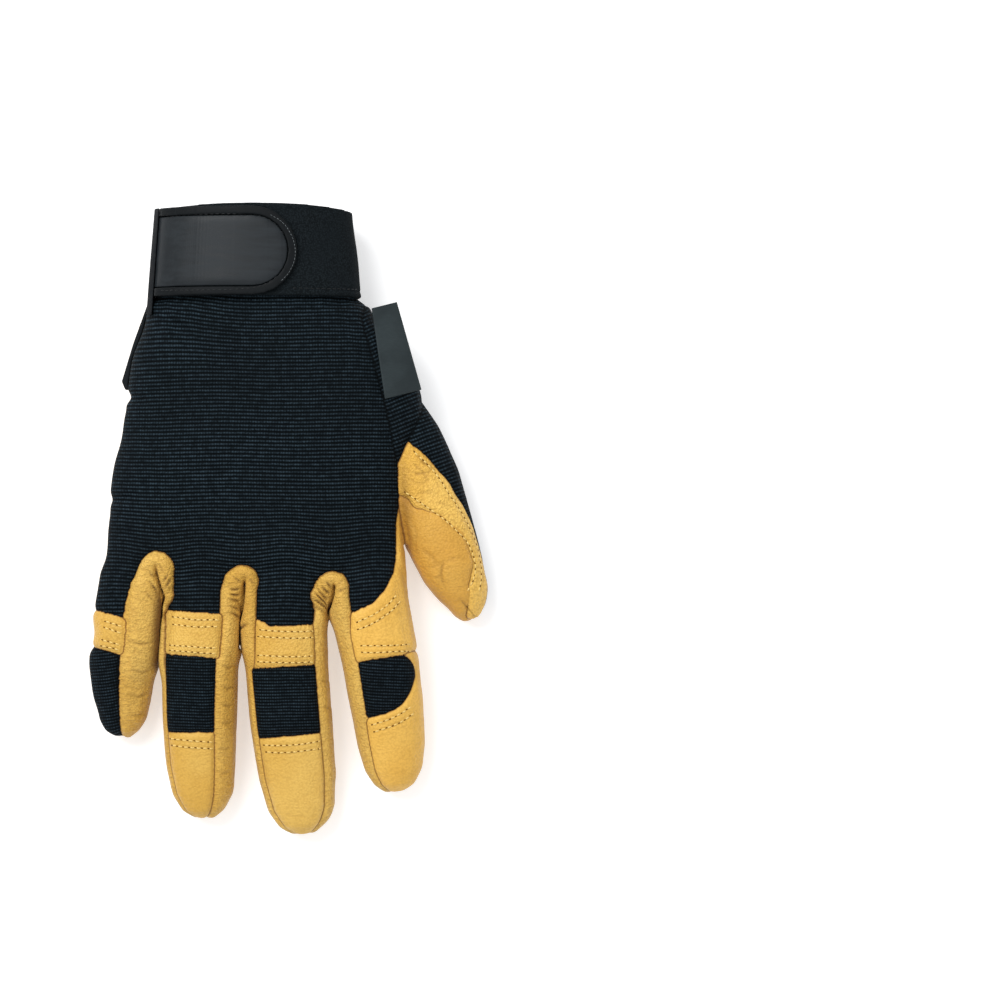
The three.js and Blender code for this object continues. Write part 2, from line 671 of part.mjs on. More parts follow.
// Closing strap, bound edge and hem, which follow the cuff's back
const strapRoot = CUFF_MIDDLE - CUFF_WIDTH / 2 + HEM_WIDTH + SEAM_GAP + STRAP_INSET;
const strapMiddleY = HAND_LENGTH + CUFF_LENGTH / 2 + STRAP_RISE;

// The strap's root slants: its place across at a distance y from the webs.
const rootX = (y) => strapRoot + STRAP_SLANT * (y - strapMiddleY);

// The strap's outline in plan, smaller by inset on its three free sides and longer by past at its root.
function strapOutline(inset, past = 0) {
  const half = STRAP_WIDTH / 2 - inset;
  const endMiddle = strapRoot + STRAP_LENGTH - STRAP_WIDTH / 2;
  const outline = [[rootX(strapMiddleY - half) - past, strapMiddleY - half]];
  for (let angle = -90; angle <= 90; angle += 15) {
    const [c, s] = [Math.cos(degrees(angle)), Math.sin(degrees(angle))];
    outline.push([endMiddle + half * c, strapMiddleY + half * s]);
  }
  outline.push([rootX(strapMiddleY + half) - past, strapMiddleY + half]);
  return outline;
}

const upperHalf = CUFF_THICKNESS / 2;
const onCuff = (thickness) =>
  cuffForm(SEAM_GAP + thickness, 0, REACH / 30).subtract(cuffForm(SEAM_GAP, 0, REACH / 10));
const strapSpace = (inset, past) => prism(strapOutline(inset, past), upperHalf, REACH);
addPanel(
  "closure_strap",
  onCuff(STRAP_THICKNESS).intersect(strapSpace(BINDING_WIDTH + SEAM_GAP)),
  SMOOTH_BLACK,
);
addPanel(
  "strap_binding",
  onCuff(BINDING_THICKNESS).intersect(strapSpace(0)).subtract(strapSpace(BINDING_WIDTH, BINDING_WIDTH)),
  SMOOTH_BLACK,
);
const hemStart = strapMiddleY + STRAP_WIDTH / 2;
const hemOutline = [
  [rootX(hemStart - HEM_LENGTH) - SEAM_GAP - HEM_WIDTH, hemStart - HEM_LENGTH],
  [rootX(hemStart - HEM_LENGTH) - SEAM_GAP, hemStart - HEM_LENGTH],
  [rootX(hemStart) - SEAM_GAP, hemStart],
  [rootX(hemStart) - SEAM_GAP - HEM_WIDTH, hemStart],
];
const hemClear = handAndFingers(SEAM_GAP);
addPanel(
  "strap_hem",
  onCuff(BINDING_THICKNESS).intersect(prism(hemOutline, upperHalf, REACH)).subtract(hemClear),
  SMOOTH_BLACK,
);

// Side label: a flat piece of tape sewn into the back panel's seam, which leans out over the gusset
const labelSeam = [0, 1].map((share) => {
  const along = LABEL_START + (share * LABEL_LENGTH) / HAND_LENGTH;
  return new THREE.Vector3(xAt(between(BACK_EDGE, along, "across", "along")), yAt(along), 0);
});
// Its plane clears the highest point of the hand below it.
const labelHeights = [0, 0.25, 0.5, 0.75, 1].flatMap((share) => {
  const point = labelSeam[0].clone().lerp(labelSeam[1], share);
  const along = 1 - point.y / HAND_LENGTH;
  return [0, 0.2, 0.4, 0.6, 0.8].map((out) => {
    const away = out * LABEL_WIDTH;
    return backHeight(along, point.x + away) + LABEL_LEAN * away;
  });
});
labelSeam.forEach((point) => point.setZ(Math.max(...labelHeights) + LABEL_LIFT));
const labelOut = new THREE.Vector3(1, 0.28, -LABEL_LEAN).normalize().multiplyScalar(LABEL_WIDTH);
const labelTuck = labelOut.clone().setLength(LABEL_TUCK);
const labelFace = [
  labelSeam[0].clone().add(labelTuck),
  labelSeam[1],
  labelSeam[1].clone().add(labelOut),
  labelSeam[0].clone().add(labelOut),
];
const labelRise = new THREE.Vector3(LABEL_LEAN, 0, 1).normalize().multiplyScalar(LABEL_THICKNESS);
const labelForm = loft([labelFace, labelFace.map((p) => p.clone().add(labelRise))]);
addPanel("side_label", labelForm.subtract(hemClear), LABEL_GREY);

// Pull tab: a folded strip that stands out of the little-finger side seam
const tabRows = [
  { at: 0, reach: 0.3 },
  { at: 0.45, reach: 0.7 },
  { at: 0.9, reach: 1 },
  { at: 1, reach: 0.6 },
];
const tabOuter = tabRows.map(({ at, reach }) => {
  const along = TAB_START + (at * TAB_LENGTH) / HAND_LENGTH;
  return [-xAt(between(HAND_SECTIONS, along, "left", "along")) - TAB_REACH * reach, yAt(along)];
});
const tabInner = [...tabOuter].reverse().map(([x, y]) => [x + TAB_REACH * 2, y]);
const tabLow = HAND_THICKNESS * SEAM_HEIGHT + SEAM_GAP - TAB_THICKNESS / 2;
const tabForm = prism([...tabOuter, ...tabInner], tabLow, tabLow + TAB_THICKNESS);
addPanel("pull_tab", tabForm.subtract(hemClear), SMOOTH_BLACK);

glove.updateMatrixWorld(true);
const box = new THREE.Box3().setFromObject(glove);
const base = box.getCenter(new THREE.Vector3()).setZ(box.min.z);
glove.position.sub(base);

export default glove;
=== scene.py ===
# %% [markdown]
# A work glove, dressed in Blender
#
# The glove is a right-hand work glove that lies palm down, seen from straight above. Its hard shape
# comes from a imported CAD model, which is loaded first and is never moved. Everything that makes it
# look sewn and soft is added here: one smooth skin over the whole hand, cut along the seams into
# leather and knit panels, then folds, stitches, the cuff with its strap, and the finishes.
# Blender works in metres, so MM turns the millimetres that a glove maker would use into metres.

# %% Load the frame
import math

import bpy
import numpy as np
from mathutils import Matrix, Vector
from mathutils.bvhtree import BVHTree
from mathutils.kdtree import KDTree


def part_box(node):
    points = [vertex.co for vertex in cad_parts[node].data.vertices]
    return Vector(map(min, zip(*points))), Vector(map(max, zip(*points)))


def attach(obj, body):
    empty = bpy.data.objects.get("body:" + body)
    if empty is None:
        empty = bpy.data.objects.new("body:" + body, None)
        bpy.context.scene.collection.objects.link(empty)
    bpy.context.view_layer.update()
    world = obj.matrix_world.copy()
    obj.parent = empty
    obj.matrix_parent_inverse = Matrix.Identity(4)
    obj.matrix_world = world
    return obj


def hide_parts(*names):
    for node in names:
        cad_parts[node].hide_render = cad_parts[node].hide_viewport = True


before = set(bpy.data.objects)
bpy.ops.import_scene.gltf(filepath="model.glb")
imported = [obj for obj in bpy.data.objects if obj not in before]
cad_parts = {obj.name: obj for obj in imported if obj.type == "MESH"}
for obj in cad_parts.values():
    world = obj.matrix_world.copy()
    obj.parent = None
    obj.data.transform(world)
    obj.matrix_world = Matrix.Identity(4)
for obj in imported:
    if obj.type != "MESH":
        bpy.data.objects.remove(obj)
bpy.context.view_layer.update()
MM = 0.001

# %% [markdown]
# The camera comes first
#
# The photograph was taken from straight above, so the camera looks straight down from 1.3 m. Because
# its place is known, any point of the glove can be turned into a place in the picture, in pixels, and
# folds and rows of stitches can be laid where the picture shows them.

# %% Camera, and places in the picture
EYE = Vector((0.082875, 0.00858, 1.3))
FIELD = 0.39  # how many metres the picture shows across, at HALF_HEIGHT above the floor
HALF_HEIGHT = 0.02
PIXELS = 1000
bpy.ops.object.select_all(action="DESELECT")
bpy.ops.object.camera_add(location=EYE, rotation=(0, 0, 0))
camera = bpy.context.object
camera.name = "camera_above"
camera.data.sensor_width = 36
camera.data.lens = 36 * (EYE.z - HALF_HEIGHT) / FIELD
camera.data.clip_start = 0.05
bpy.context.scene.camera = camera


def in_picture(co):
    """Where points (n, 3) appear in the picture, as pixels from its left and top."""
    scale = PIXELS / FIELD * (EYE.z - HALF_HEIGHT) / (EYE.z - co[:, 2])
    across = PIXELS / 2 + (co[:, 0] - EYE.x) * scale
    down = PIXELS / 2 - (co[:, 1] - EYE.y) * scale
    return np.stack([across, down], axis=1)


PIXEL = FIELD / PIXELS  # the size of a pixel on the glove
print("one pixel is", PIXEL / MM, "mm; lens", round(camera.data.lens, 2), "mm")

# %% [markdown]
# Small helpers
#
# A Blender operator acts on whatever is selected, so each helper first clears the selection and then
# selects just its own object. Points are read and written as one numpy array, because a glove's skin
# has far too many points to handle one at a time.

# %% Helpers for selecting, joining and applying


def pick(*objects):
    bpy.ops.object.select_all(action="DESELECT")
    for o in objects:
        o.select_set(True)
    bpy.context.view_layer.objects.active = objects[0]


def apply_modifier(o, kind, **settings):
    modifier = o.modifiers.new(kind.title(), kind)
    for key, value in settings.items():
        setattr(modifier, key, value)
    pick(o)
    bpy.ops.object.modifier_apply(modifier=modifier.name)


def read(mesh_part, name, width=3):
    values = np.empty(len(mesh_part) * width, np.float32)
    mesh_part.foreach_get(name, values)
    return values.reshape(-1, width).astype(float)


def write(o, co):
    o.data.vertices.foreach_set("co", co.astype(np.float32).ravel())


def new_object(name, points, faces):
    mesh = bpy.data.meshes.new(name)
    mesh.from_pydata(points.tolist(), [], faces)
    mesh.shade_smooth()
    o = bpy.data.objects.new(name, mesh)
    bpy.context.scene.collection.objects.link(o)
    return o


def trees_of(objects):
    """A search tree for each object, which finds its nearest point, or where a ray meets it."""
    bpy.context.view_layer.update()
    graph = bpy.context.evaluated_depsgraph_get()
    return [BVHTree.FromObject(o, graph) for o in objects]


def merged_copy(node, name):
    """A new object with a copy of a CAD node's mesh, whose loose corners are merged."""
    o = bpy.data.objects.new(name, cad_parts[node].data.copy())
    bpy.context.scene.collection.objects.link(o)
    o.data.materials.clear()
    pick(o)
    bpy.ops.object.mode_set(mode="EDIT")
    bpy.ops.mesh.select_all(action="SELECT")
    bpy.ops.mesh.remove_doubles(threshold=1e-6)
    bpy.ops.mesh.customdata_custom_splitnormals_clear()
    bpy.ops.object.mode_set(mode="OBJECT")
    return o


# %% [markdown]
# One skin over the hand
#
# A real glove is turned inside out after sewing, so its panels meet without a step. To get that, the
# hand's CAD panels are copied, swollen a little so that their seams close, and melted into one form by
# a voxel remesh. Smoothing then takes the facets out. A bisect opens the wrist, which leaves an outer
# and an inner skin as two loose shells. The outer one becomes the panels.

# %% A soft step, and the gap between ring and middle finger


def ramp(values, low, high):
    """0 below low, 1 above high, and a soft step in between."""
    t = np.clip((values - low) / (high - low), 0, 1)
    return t * t * (3 - 2 * t)


# The middle of the gap in pixels. Melting would close its narrow end, so its two walls first move apart.
GAP_ACROSS = [240.5, 241.2, 242.5, 242.5, 245]
GAP_DOWN = [636, 660, 690, 740, 790]
OPEN_LEFT, OPEN_RIGHT = 0.6 * MM, 0.35 * MM


def open_gap(co):
    """Moves the walls apart from 644 pixels down to 770, the right one only above 675."""
    across, down = in_picture(co).T
    off = across - np.interp(down, GAP_DOWN, GAP_ACROSS)
    near = ramp(-np.abs(off), -14, -7) * ramp(down, 628, 644) * ramp(-down, -800, -770)
    shift = np.where(off < 0, -OPEN_LEFT, OPEN_RIGHT * ramp(-down, -700, -675))
    co = co.copy()
    co[:, 0] += shift * near
    return co


# %% Melt the panels into one form
LEATHER = [
    "palm_panel", "fourchette_little_ring", "fourchette_ring_middle", "fourchette_middle_index",
    "little_band", "ring_band", "middle_band", "index_band", "ring_cap", "middle_cap", "index_cap",
    "thumb_strip", "thumb_palm",
]
KNIT = [
    "back_panel", "thumb_gusset", "thumb_back", "little_tip", "ring_insert", "middle_insert",
    "index_insert",
]
PANELS = LEATHER + KNIT
SWELL = 0.26 * MM
VOXEL = 0.68 * MM
copies = {node: merged_copy(node, node + "_copy") for node in PANELS}
shapes = dict(zip(copies, trees_of(copies.values())))
corners = {node: read(o.data.vertices, "co") for node, o in copies.items()}
for node, o in copies.items():
    write(o, open_gap(corners[node]))
    apply_modifier(o, "DISPLACE", strength=SWELL, mid_level=0.0)
skin = copies["palm_panel"]
pick(skin, *[o for o in copies.values() if o is not skin])
bpy.ops.object.join()
skin.name = "skin"
apply_modifier(skin, "REMESH", mode="VOXEL", voxel_size=VOXEL)
apply_modifier(skin, "SMOOTH", factor=0.5, iterations=26)
print("melted form:", len(skin.data.vertices), "points")

# %% Smooth the broad hand further than the fingers
KNUCKLES_Y = -20 * MM  # above it the hand's share grows over the next 25 mm
THUMB_X = 46 * MM  # left of it the hand's share grows over the next 12 mm
hand = skin.vertex_groups.new(name="hand")
across, along_hand = read(skin.data.vertices, "co").T[:2]
broad = np.clip((along_hand - KNUCKLES_Y) / (25 * MM), 0, 1) * np.clip((THUMB_X - across) / (12 * MM), 0, 1)
for step in range(1, 11):
    chosen = np.nonzero(np.round(broad * 10) == step)[0]
    hand.add(chosen.tolist(), step / 10, "REPLACE")
apply_modifier(skin, "SMOOTH", factor=0.5, iterations=140, vertex_group="hand")

# %% Open the wrist and keep the outer skin
cuff_low, cuff_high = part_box("cuff_band")
SEAM_Y = cuff_low.y - 0.3 * MM  # where the hand is sewn to the cuff
TUCKED = 4.2 * MM  # how much of the hand's edge stays inside the cuff
pick(skin)
bpy.ops.object.mode_set(mode="EDIT")
bpy.ops.mesh.select_all(action="SELECT")
bpy.ops.mesh.bisect(plane_co=(0, SEAM_Y + TUCKED, 0), plane_no=(0, 1, 0), clear_outer=True)
bpy.ops.mesh.select_all(action="SELECT")
bpy.ops.mesh.quads_convert_to_tris()
bpy.ops.mesh.separate(type="LOOSE")
bpy.ops.object.mode_set(mode="OBJECT")
shells = [o for o in bpy.context.selected_objects if o.type == "MESH"]
shells.sort(key=lambda o: -o.dimensions.length)
skin, liner = shells[:2]
for o in shells[2:]:
    bpy.data.objects.remove(o)
print("outer skin:", len(skin.data.vertices), "points,", len(skin.data.polygons), "triangles")

# %% [markdown]
# From one skin to sewn panels
#
# Each point of the skin belongs to the CAD panel that lies nearest to it. The difference between the
# distance to one panel and the distance to the nearest other panel is zero along the seam, so cutting
# the skin where it is zero gives the sewing line. The difference is smoothed first, as an edge that a
# knife cut and a seam pulled straight has no jags. The cut itself is plain arithmetic: a triangle that
# the line crosses is split in two or three. That keeps both panels' edges exactly the same.

# %% How far each point is from each panel
co = read(skin.data.vertices, "co")
normal = read(skin.data.vertex_normals, "vector")
triangles = np.empty(len(skin.data.polygons) * 3, np.int32)
skin.data.polygons.foreach_get("vertices", triangles)
triangles = triangles.reshape(-1, 3)
links = np.concatenate([triangles[:, pair] for pair in ([0, 1], [1, 2], [2, 0])])
links = np.unique(np.sort(links, axis=1), axis=0)
how_many = np.maximum(np.bincount(links.ravel(), minlength=len(co)), 1)


def smooth(values, rounds):
    """The values of the skin's points, each time averaged with those of its neighbours."""
    for _ in range(rounds):
        total = np.bincount(links[:, 0], values[links[:, 1]], len(co))
        total += np.bincount(links[:, 1], values[links[:, 0]], len(co))
        values = 0.5 * values + 0.5 * total / how_many
    return values


FAR = 3 * MM
away = np.full((len(co), len(PANELS)), FAR)
for column, node in enumerate(PANELS):
    low, high = corners[node].min(axis=0) - FAR, corners[node].max(axis=0) + FAR
    near = np.nonzero(((co > low) & (co < high)).all(axis=1))[0]
    find = shapes[node].find_nearest
    found = [find(co[i], FAR)[3] for i in near]
    away[near, column] = [FAR if d is None else d for d in found]
print("nearest panels found for", len(co), "points")

# %% Small corrections
# Each row: a place in pixels, how far round it the form gives in pixels, and its move in mm to the
# right and up.
NUDGES = [
    (84, 633, 15, 2.1, 0.0),  # the band pulls the little finger in
    (97, 712, 17, 0.9, 0.0),
    (123, 738, 10, 0.0, -0.7),
    (140, 318, 20, 0.4, 0.0),  # below the cuff, and under the strap's hem
    (157, 302, 9, -3.0, 0.3),
    (363, 304, 11, 2.5, 0.8),  # the shoulder beside the label
    (447, 608, 17, 0.8, 0.8),  # the thumb's underside and tip
    (490, 590, 16, 0.7, 0.0),
    (333, 815, 10, 0.7, 0.0),
]


def nudged(co):
    spots = in_picture(co)
    co = co.copy()
    for px, py, wide, to_right, up in NUDGES:
        share = np.exp(-(((spots - (px, py)) ** 2).sum(axis=1) / wide**2))
        co[:, 0] += share * to_right * MM
        co[:, 1] += share * up * MM
    return co


print("nudges:", len(NUDGES))

# %% Edges that follow the photograph
# Where a panel's edge in the photograph differs from the CAD's: each shape is convex, in pixels.
SHAPES = {
    "little_band": (90, 610, 125.5, 622, 122.5, 655, 89, 646),
    "ring_band": (167, 611, 222.8, 615, 219.3, 658.5, 166.5, 651.5),
    "middle_band": (254.8, 618.8, 267, 624.8, 267, 632, 254.6, 632),
    "fourchette_ring_middle": (243, 606, 254.8, 606, 254.4, 632, 253, 667, 245, 667),
}
ROUND_ENDS = {  # the thick rolls' round ends: middle and radius in pixels
    "fourchette_little_ring": (156.5, 569, 17),
    "fourchette_ring_middle": (243, 581, 14.5),
    "fourchette_middle_index": (332.5, 588, 15.5),
}
INDEX_WINDOW = [
    357, 662, 399, 655, 407, 656.3, 413, 661, 416.8, 669, 417.3, 677, 415.4, 688.5, 411, 698, 405, 705,
    396, 711.5, 384, 715, 365, 718.3,
]


def pixels(path):
    """A path's numbers, across and down in turn, as rows of two."""
    return np.reshape(path, (-1, 2)).astype(float)


def from_edge(spots, outline):
    """How far points lie outside a convex shape (negative inside), in metres on the glove."""
    outline = pixels(outline)
    outside = np.full(len(spots), -np.inf)
    for a, b in zip(outline, np.roll(outline, -1, axis=0)):
        way = (b - a) / np.linalg.norm(b - a)
        outside = np.maximum(outside, (spots - a) @ np.array([way[1], -way[0]]))
    return outside * PIXEL


spots = in_picture(co)
on_top = normal[:, 2] > 0.15
grown = [(node, from_edge(spots, outline)) for node, outline in SHAPES.items()]
for node, (px, py, radius) in ROUND_ENDS.items():
    grown.append((node, (np.linalg.norm(spots - (px, py), axis=1) - radius) * PIXEL))
for node, reached in grown:
    column = PANELS.index(node)
    away[on_top, column] = np.minimum(away[:, column], reached)[on_top]
window = PANELS.index("index_insert")
outside = from_edge(spots, INDEX_WINDOW)
away[on_top, window] = np.maximum(away[:, window], np.minimum(4 * outside, FAR))[on_top]
co = nudged(co)
write(liner, nudged(read(liner.data.vertices, "co")))
print("panels whose edges follow the photograph:", len(grown) + 1)

# %% Cut the skin


def cut_out(field, layers):
    """The part of the skin where field is below 0: its points, its triangles and its layers there."""
    inside = field < 0
    count = inside[triangles].sum(axis=1)
    whole = triangles[count == 3]
    crossed = triangles[(count > 0) & (count < 3)]
    one = inside[crossed].sum(axis=1) == 1  # one corner inside, or else two
    first = np.argmax(inside[crossed] == one[:, None], axis=1)
    rows = np.arange(len(crossed))
    a, b, c = (crossed[rows, (first + step) % 3] for step in range(3))
    ends = np.concatenate([np.stack([a, b], 1), np.stack([a, c], 1)])
    ends, at = np.unique(np.sort(ends, axis=1), axis=0, return_inverse=True)
    at = at.reshape(-1) + len(co)
    ab, ac = at[: len(a)], at[len(a):]
    pieces = [
        whole,
        np.stack([a, ab, ac], 1)[one],
        np.stack([ab, b, c], 1)[~one],
        np.stack([ab, c, ac], 1)[~one],
    ]
    start, end = ends.T
    share = (field[start] / (field[start] - field[end]))[:, None]
    layers = [np.concatenate([v, v[start] + (v[end] - v[start]) * share]) for v in layers]
    faces = np.concatenate(pieces)
    used, faces = np.unique(faces, return_inverse=True)
    return [v[used] for v in layers], faces.reshape(-1, 3), used >= len(co)


SEAM_ROUNDS, NORMAL_ROUNDS = 9, 8
for column in range(len(PANELS)):
    away[:, column] = smooth(away[:, column], SEAM_ROUNDS)
for axis in range(3):
    normal[:, axis] = smooth(normal[:, axis], NORMAL_ROUNDS)
cuts = {}
seam_points = []
for column, node in enumerate(PANELS):
    others = np.delete(away, column, axis=1).min(axis=1)
    cuts[node] = cut_out(away[:, column] - others, [co, normal])
    (place, _), _, on_seam = cuts[node]
    seam_points.append(place[on_seam])
    print(node, len(cuts[node][1]), "triangles")
seam_points = np.concatenate(seam_points)
bpy.data.objects.remove(skin)
print("seam points:", len(seam_points))

# %% [markdown]
# Folds, rolls and stitched valleys
#
# Soft leather folds wherever a hand bends it, and every row of stitches pulls a shallow valley. Each
# fold here is a line drawn over the picture, with a width and a depth in millimetres. A point of the
# skin near the line sinks along its own normal, and the points just beside it rise a little, as real
# leather does when it is pushed together. At the webs between the fingers the leather is a thick roll
# with a deep slit, which comes from the same two numbers: how far the seam is, and how far the slit.

# %% All the panels' points in one array
place, normal = (np.concatenate([cuts[n][0][layer] for n in PANELS]) for layer in range(2))
normal /= np.linalg.norm(normal, axis=1)[:, None]
panel_of = np.concatenate([np.full(len(cuts[n][0][0]), i) for i, n in enumerate(PANELS)])
picture = in_picture(place)
upward = ramp(normal[:, 2], -0.3, 0.1)
downward = ramp(-normal[:, 2], 0.1, 0.5)
near_seam = KDTree(len(seam_points))
for i, p in enumerate(seam_points):
    near_seam.insert(p, i)
near_seam.balance()
seam_mm = np.array([near_seam.find(p)[2] for p in place]) / MM
print("furthest point from a seam:", round(seam_mm.max(), 1), "mm")


def along(path, reach):
    """Which points lie within reach (pixels) of a path, how far in mm, and at what share of its length."""
    path = pixels(path)
    low, high = path.min(axis=0) - reach, path.max(axis=0) + reach
    which = np.nonzero(((picture > low) & (picture < high)).all(axis=1))[0]
    spots = picture[which]
    far = np.full(len(which), np.inf)
    share = np.zeros(len(which))
    lengths = np.linalg.norm(np.diff(path, axis=0), axis=1)
    run = np.concatenate([[0], np.cumsum(lengths)])
    for (a, b), start, length in zip(zip(path[:-1], path[1:]), run, lengths):
        t = np.clip((spots - a) @ (b - a) / length**2, 0, 1)
        d = np.linalg.norm(spots - a - t[:, None] * (b - a), axis=1)
        closer = d < far
        far[closer] = d[closer]
        share[closer] = (start + t[closer] * length) / run[-1]
    return which, far * PIXEL / MM, share


relief = np.zeros(len(place))  # how far each point rises, in mm
# Painted shade: darker colour in folds, slits and stitch valleys, and where the leather turns down at the
# sides
painted_shade = np.zeros(len(place))  # how deep in a fold it lies, for the finishes


def fold(path, wide, deep, side=upward, lip=0.4):
    """Presses a fold in, wide and deep in mm, that fades at both ends; lip is how far its sides rise."""
    which, far, share = along(path, 4 * wide * MM / PIXEL)
    taper = np.clip(np.sin(np.pi * share), 0, 1) ** 0.6 * side[which]
    sink = np.exp(-((far / wide) ** 2)) * taper
    rise = np.exp(-(((far - 2.1 * wide) / wide) ** 2)) * taper
    relief[which] += deep * (lip * rise - sink)
    # Painted shade in the fold, darker the deeper the fold
    painted_shade[which] = np.maximum(painted_shade[which], sink * min(1, deep / 0.5))


# %% Rolls and slits at the webs between the fingers
SLITS = {
    "fourchette_little_ring": (156, 565, 156.5, 575, 160, 587, 164, 597, 162, 609, 160, 629, 158.5, 662),
    "fourchette_ring_middle": (245, 578, 244, 587, 244, 600, 242.5, 611, 240, 622, 239.5, 633, 239, 647),
    "fourchette_middle_index": (334.4, 584, 334.2, 594, 331, 605, 328.4, 612),
}
SHADE_WIDE = {"fourchette_little_ring": 4.4}  # mm of shade left of a slit, where it isn't 1.2
ROLL_HIGH, SLIT_WIDE, SLIT_DEEP = 1.5, 0.55, 2.6  # in mm
ROLL_REACH = 26  # in pixels, round a slit and past its end
for node, slit in SLITS.items():
    which, far, share = along(slit, ROLL_REACH)
    keep = (panel_of[which] == PANELS.index(node)) & (upward[which] > 0)
    which, far, share = which[keep], far[keep], share[keep]
    end_across, end_down = slit[-2:]
    across = seam_mm[which] / (seam_mm[which] + far + 1e-6)
    inside = ramp(picture[which, 1], end_down + ROLL_REACH, end_down - 6) * upward[which]
    roll = np.clip(4 * across * (1 - across), 0, 1) ** 0.7
    relief[which] += ROLL_HIGH * roll * inside
    crack = np.exp(-((far / SLIT_WIDE) ** 2)) * ramp(share, -0.02, 0.12) * upward[which]
    relief[which] -= SLIT_DEEP * crack
    beside = np.exp(-((far / SHADE_WIDE.get(node, 1.2)) ** 4)) * ramp(share, 0.1, 0.35)
    beside *= picture[which, 0] < end_across + 2
    # Painted shade in the slit and in a band beside it
    painted_shade[which] = np.maximum(painted_shade[which], np.maximum(crack, beside))
    print(node, "roll points:", len(which))

# %% Folds drawn over the picture
# Each row: how wide and how deep in mm, then the line in pixels.
LEATHER_FOLDS = [
    # gathers on the rolls
    (0.5, 0.5, 169, 573, 164, 581), (0.5, 0.5, 172, 577, 166, 587), (0.6, 0.5, 148, 579, 159, 593),
    (0.5, 0.35, 144, 590, 156, 604), (0.5, 0.4, 150, 570, 155, 578), (0.5, 0.3, 160, 563, 164, 571),
    (0.5, 0.5, 229, 589, 241, 587), (0.5, 0.55, 227, 594, 241, 593), (0.5, 0.55, 226, 599, 240, 600),
    (0.5, 0.4, 225, 605, 239, 609), (0.6, 0.5, 228, 611, 239, 618), (0.5, 0.4, 235, 576, 242, 582),
    (0.5, 0.35, 249, 577, 256, 584), (0.6, 0.5, 241, 630, 251, 622), (0.55, 0.8, 311, 597, 326, 609),
    (0.55, 0.8, 313, 592, 328, 604), (0.5, 0.7, 316.5, 588, 329, 599), (0.5, 0.6, 320.5, 584, 331, 593),
    (0.5, 0.5, 325, 579, 332, 587), (0.5, 0.4, 338, 592, 349, 587), (0.5, 0.35, 337, 586, 345, 579),
    (0.5, 0.4, 312, 604, 324, 614),
    # bends of the leather sides of the fingers
    (0.6, 0.3, 126, 640, 140, 643, 156, 640), (0.6, 0.28, 128, 668, 142, 672, 153, 668),
    (0.6, 0.3, 126, 694, 138, 697, 148, 693), (0.6, 0.25, 128, 715, 138, 716, 145, 712),
    (0.6, 0.28, 221, 665, 229, 668, 237, 664), (0.6, 0.3, 220, 686, 228, 689, 236, 686),
    (0.6, 0.28, 219, 703, 227, 706, 235, 703), (0.6, 0.26, 219, 722, 226, 724, 233, 721),
    (0.6, 0.25, 217, 748, 225, 750, 232, 747), (0.6, 0.25, 216, 772, 223, 774, 231, 771),
    (0.6, 0.25, 320, 680, 326, 682, 330, 679), (0.6, 0.25, 322, 706, 327, 708, 331, 705),
    # the thumb: its crotch, its palm and its tip
    (0.64, 0.37, 415, 452, 424, 463, 437, 470), (0.56, 0.31, 407, 470, 419, 474, 437, 470),
    (0.56, 0.31, 411, 462, 421, 470, 430, 483), (0.56, 0.25, 406, 480, 419, 483, 432, 480),
    (0.56, 0.22, 416, 494, 430, 491, 441, 496), (0.56, 0.19, 431, 505, 442, 503, 452, 507),
    (0.56, 0.22, 405, 497, 413, 512, 410, 528), (0.72, 0.31, 404, 520, 409, 540, 411, 556),
    (0.56, 0.22, 412, 520, 417, 534, 415, 548), (0.8, 0.22, 420, 548, 432, 556, 441, 568),
    (0.7, 0.3, 446, 558, 442, 567, 441, 576, 445, 588), (0.5, 0.18, 444, 561, 454, 558, 466, 559),
    (0.45, 0.1, 445, 569, 452, 567, 462, 566), (0.4, 0.37, 458.5, 597, 468, 609, 478, 620),
    (0.56, 0.19, 428, 575, 437, 578, 443, 575), (0.56, 0.19, 425, 566, 434, 567, 441, 562),
]
# Two broad hollows at the thumb: its crotch and its underside
HOLLOWS = [
    (2.6, 0.3, 402, 452, 404, 480, 405, 505, 409, 535, 417, 560), (2.2, 0.2, 425, 585, 440, 603, 455, 616),
]
# The palm creases where the hand closes: round the thumb's root, and across below the fingers.
PALM_FOLDS = [
    (1.4, 0.7, 392, 548, 352, 520, 310, 470, 285, 410, 280, 350),
    (1.2, 0.6, 394, 560, 340, 552, 270, 530, 200, 500, 130, 470),
    (1.2, 0.5, 380, 590, 310, 596, 220, 580, 140, 560), (1.0, 0.4, 330, 480, 290, 460, 240, 400),
    (0.9, 0.4, 350, 545, 300, 500, 262, 440), (0.9, 0.35, 180, 540, 230, 500, 262, 455),
    (1.0, 0.4, 225, 705, 205, 707, 182, 704), (1.0, 0.4, 315, 700, 290, 703, 262, 700),
    (1.0, 0.4, 405, 690, 385, 694, 364, 690), (1.0, 0.4, 145, 672, 125, 676, 104, 672),
]
# The knit folds more softly: below the cuff, at the two dents of the little-finger side, and by the gusset.
KNIT_FOLDS = [
    (1.6, 0.9, 158, 306, 172, 322, 192, 332), (1.4, 0.6, 166, 303, 186, 313, 206, 318),
    (1.5, 0.5, 215, 302, 240, 311, 275, 313), (1.5, 0.5, 290, 312, 320, 309, 348, 303),
    (1.6, 0.8, 120, 396, 134, 398, 150, 402), (1.6, 0.9, 108, 500, 122, 499, 140, 494),
    (1.8, 0.4, 345, 312, 362, 345, 372, 380), (1.6, 0.5, 373, 395, 384, 420, 390, 446),
    (2.2, 0.35, 176, 556, 196, 548, 224, 560), (2.2, 0.3, 262, 572, 284, 566, 308, 574),
]
for rows, side, lip in (
    (LEATHER_FOLDS, upward, 0.4), (HOLLOWS, upward, 0.1),
    (PALM_FOLDS, downward, 0.4), (KNIT_FOLDS, upward, 0.5),
):
    for wide, deep, *path in rows:
        fold(path, wide, deep, side, lip)
    print("folds:", len(rows))

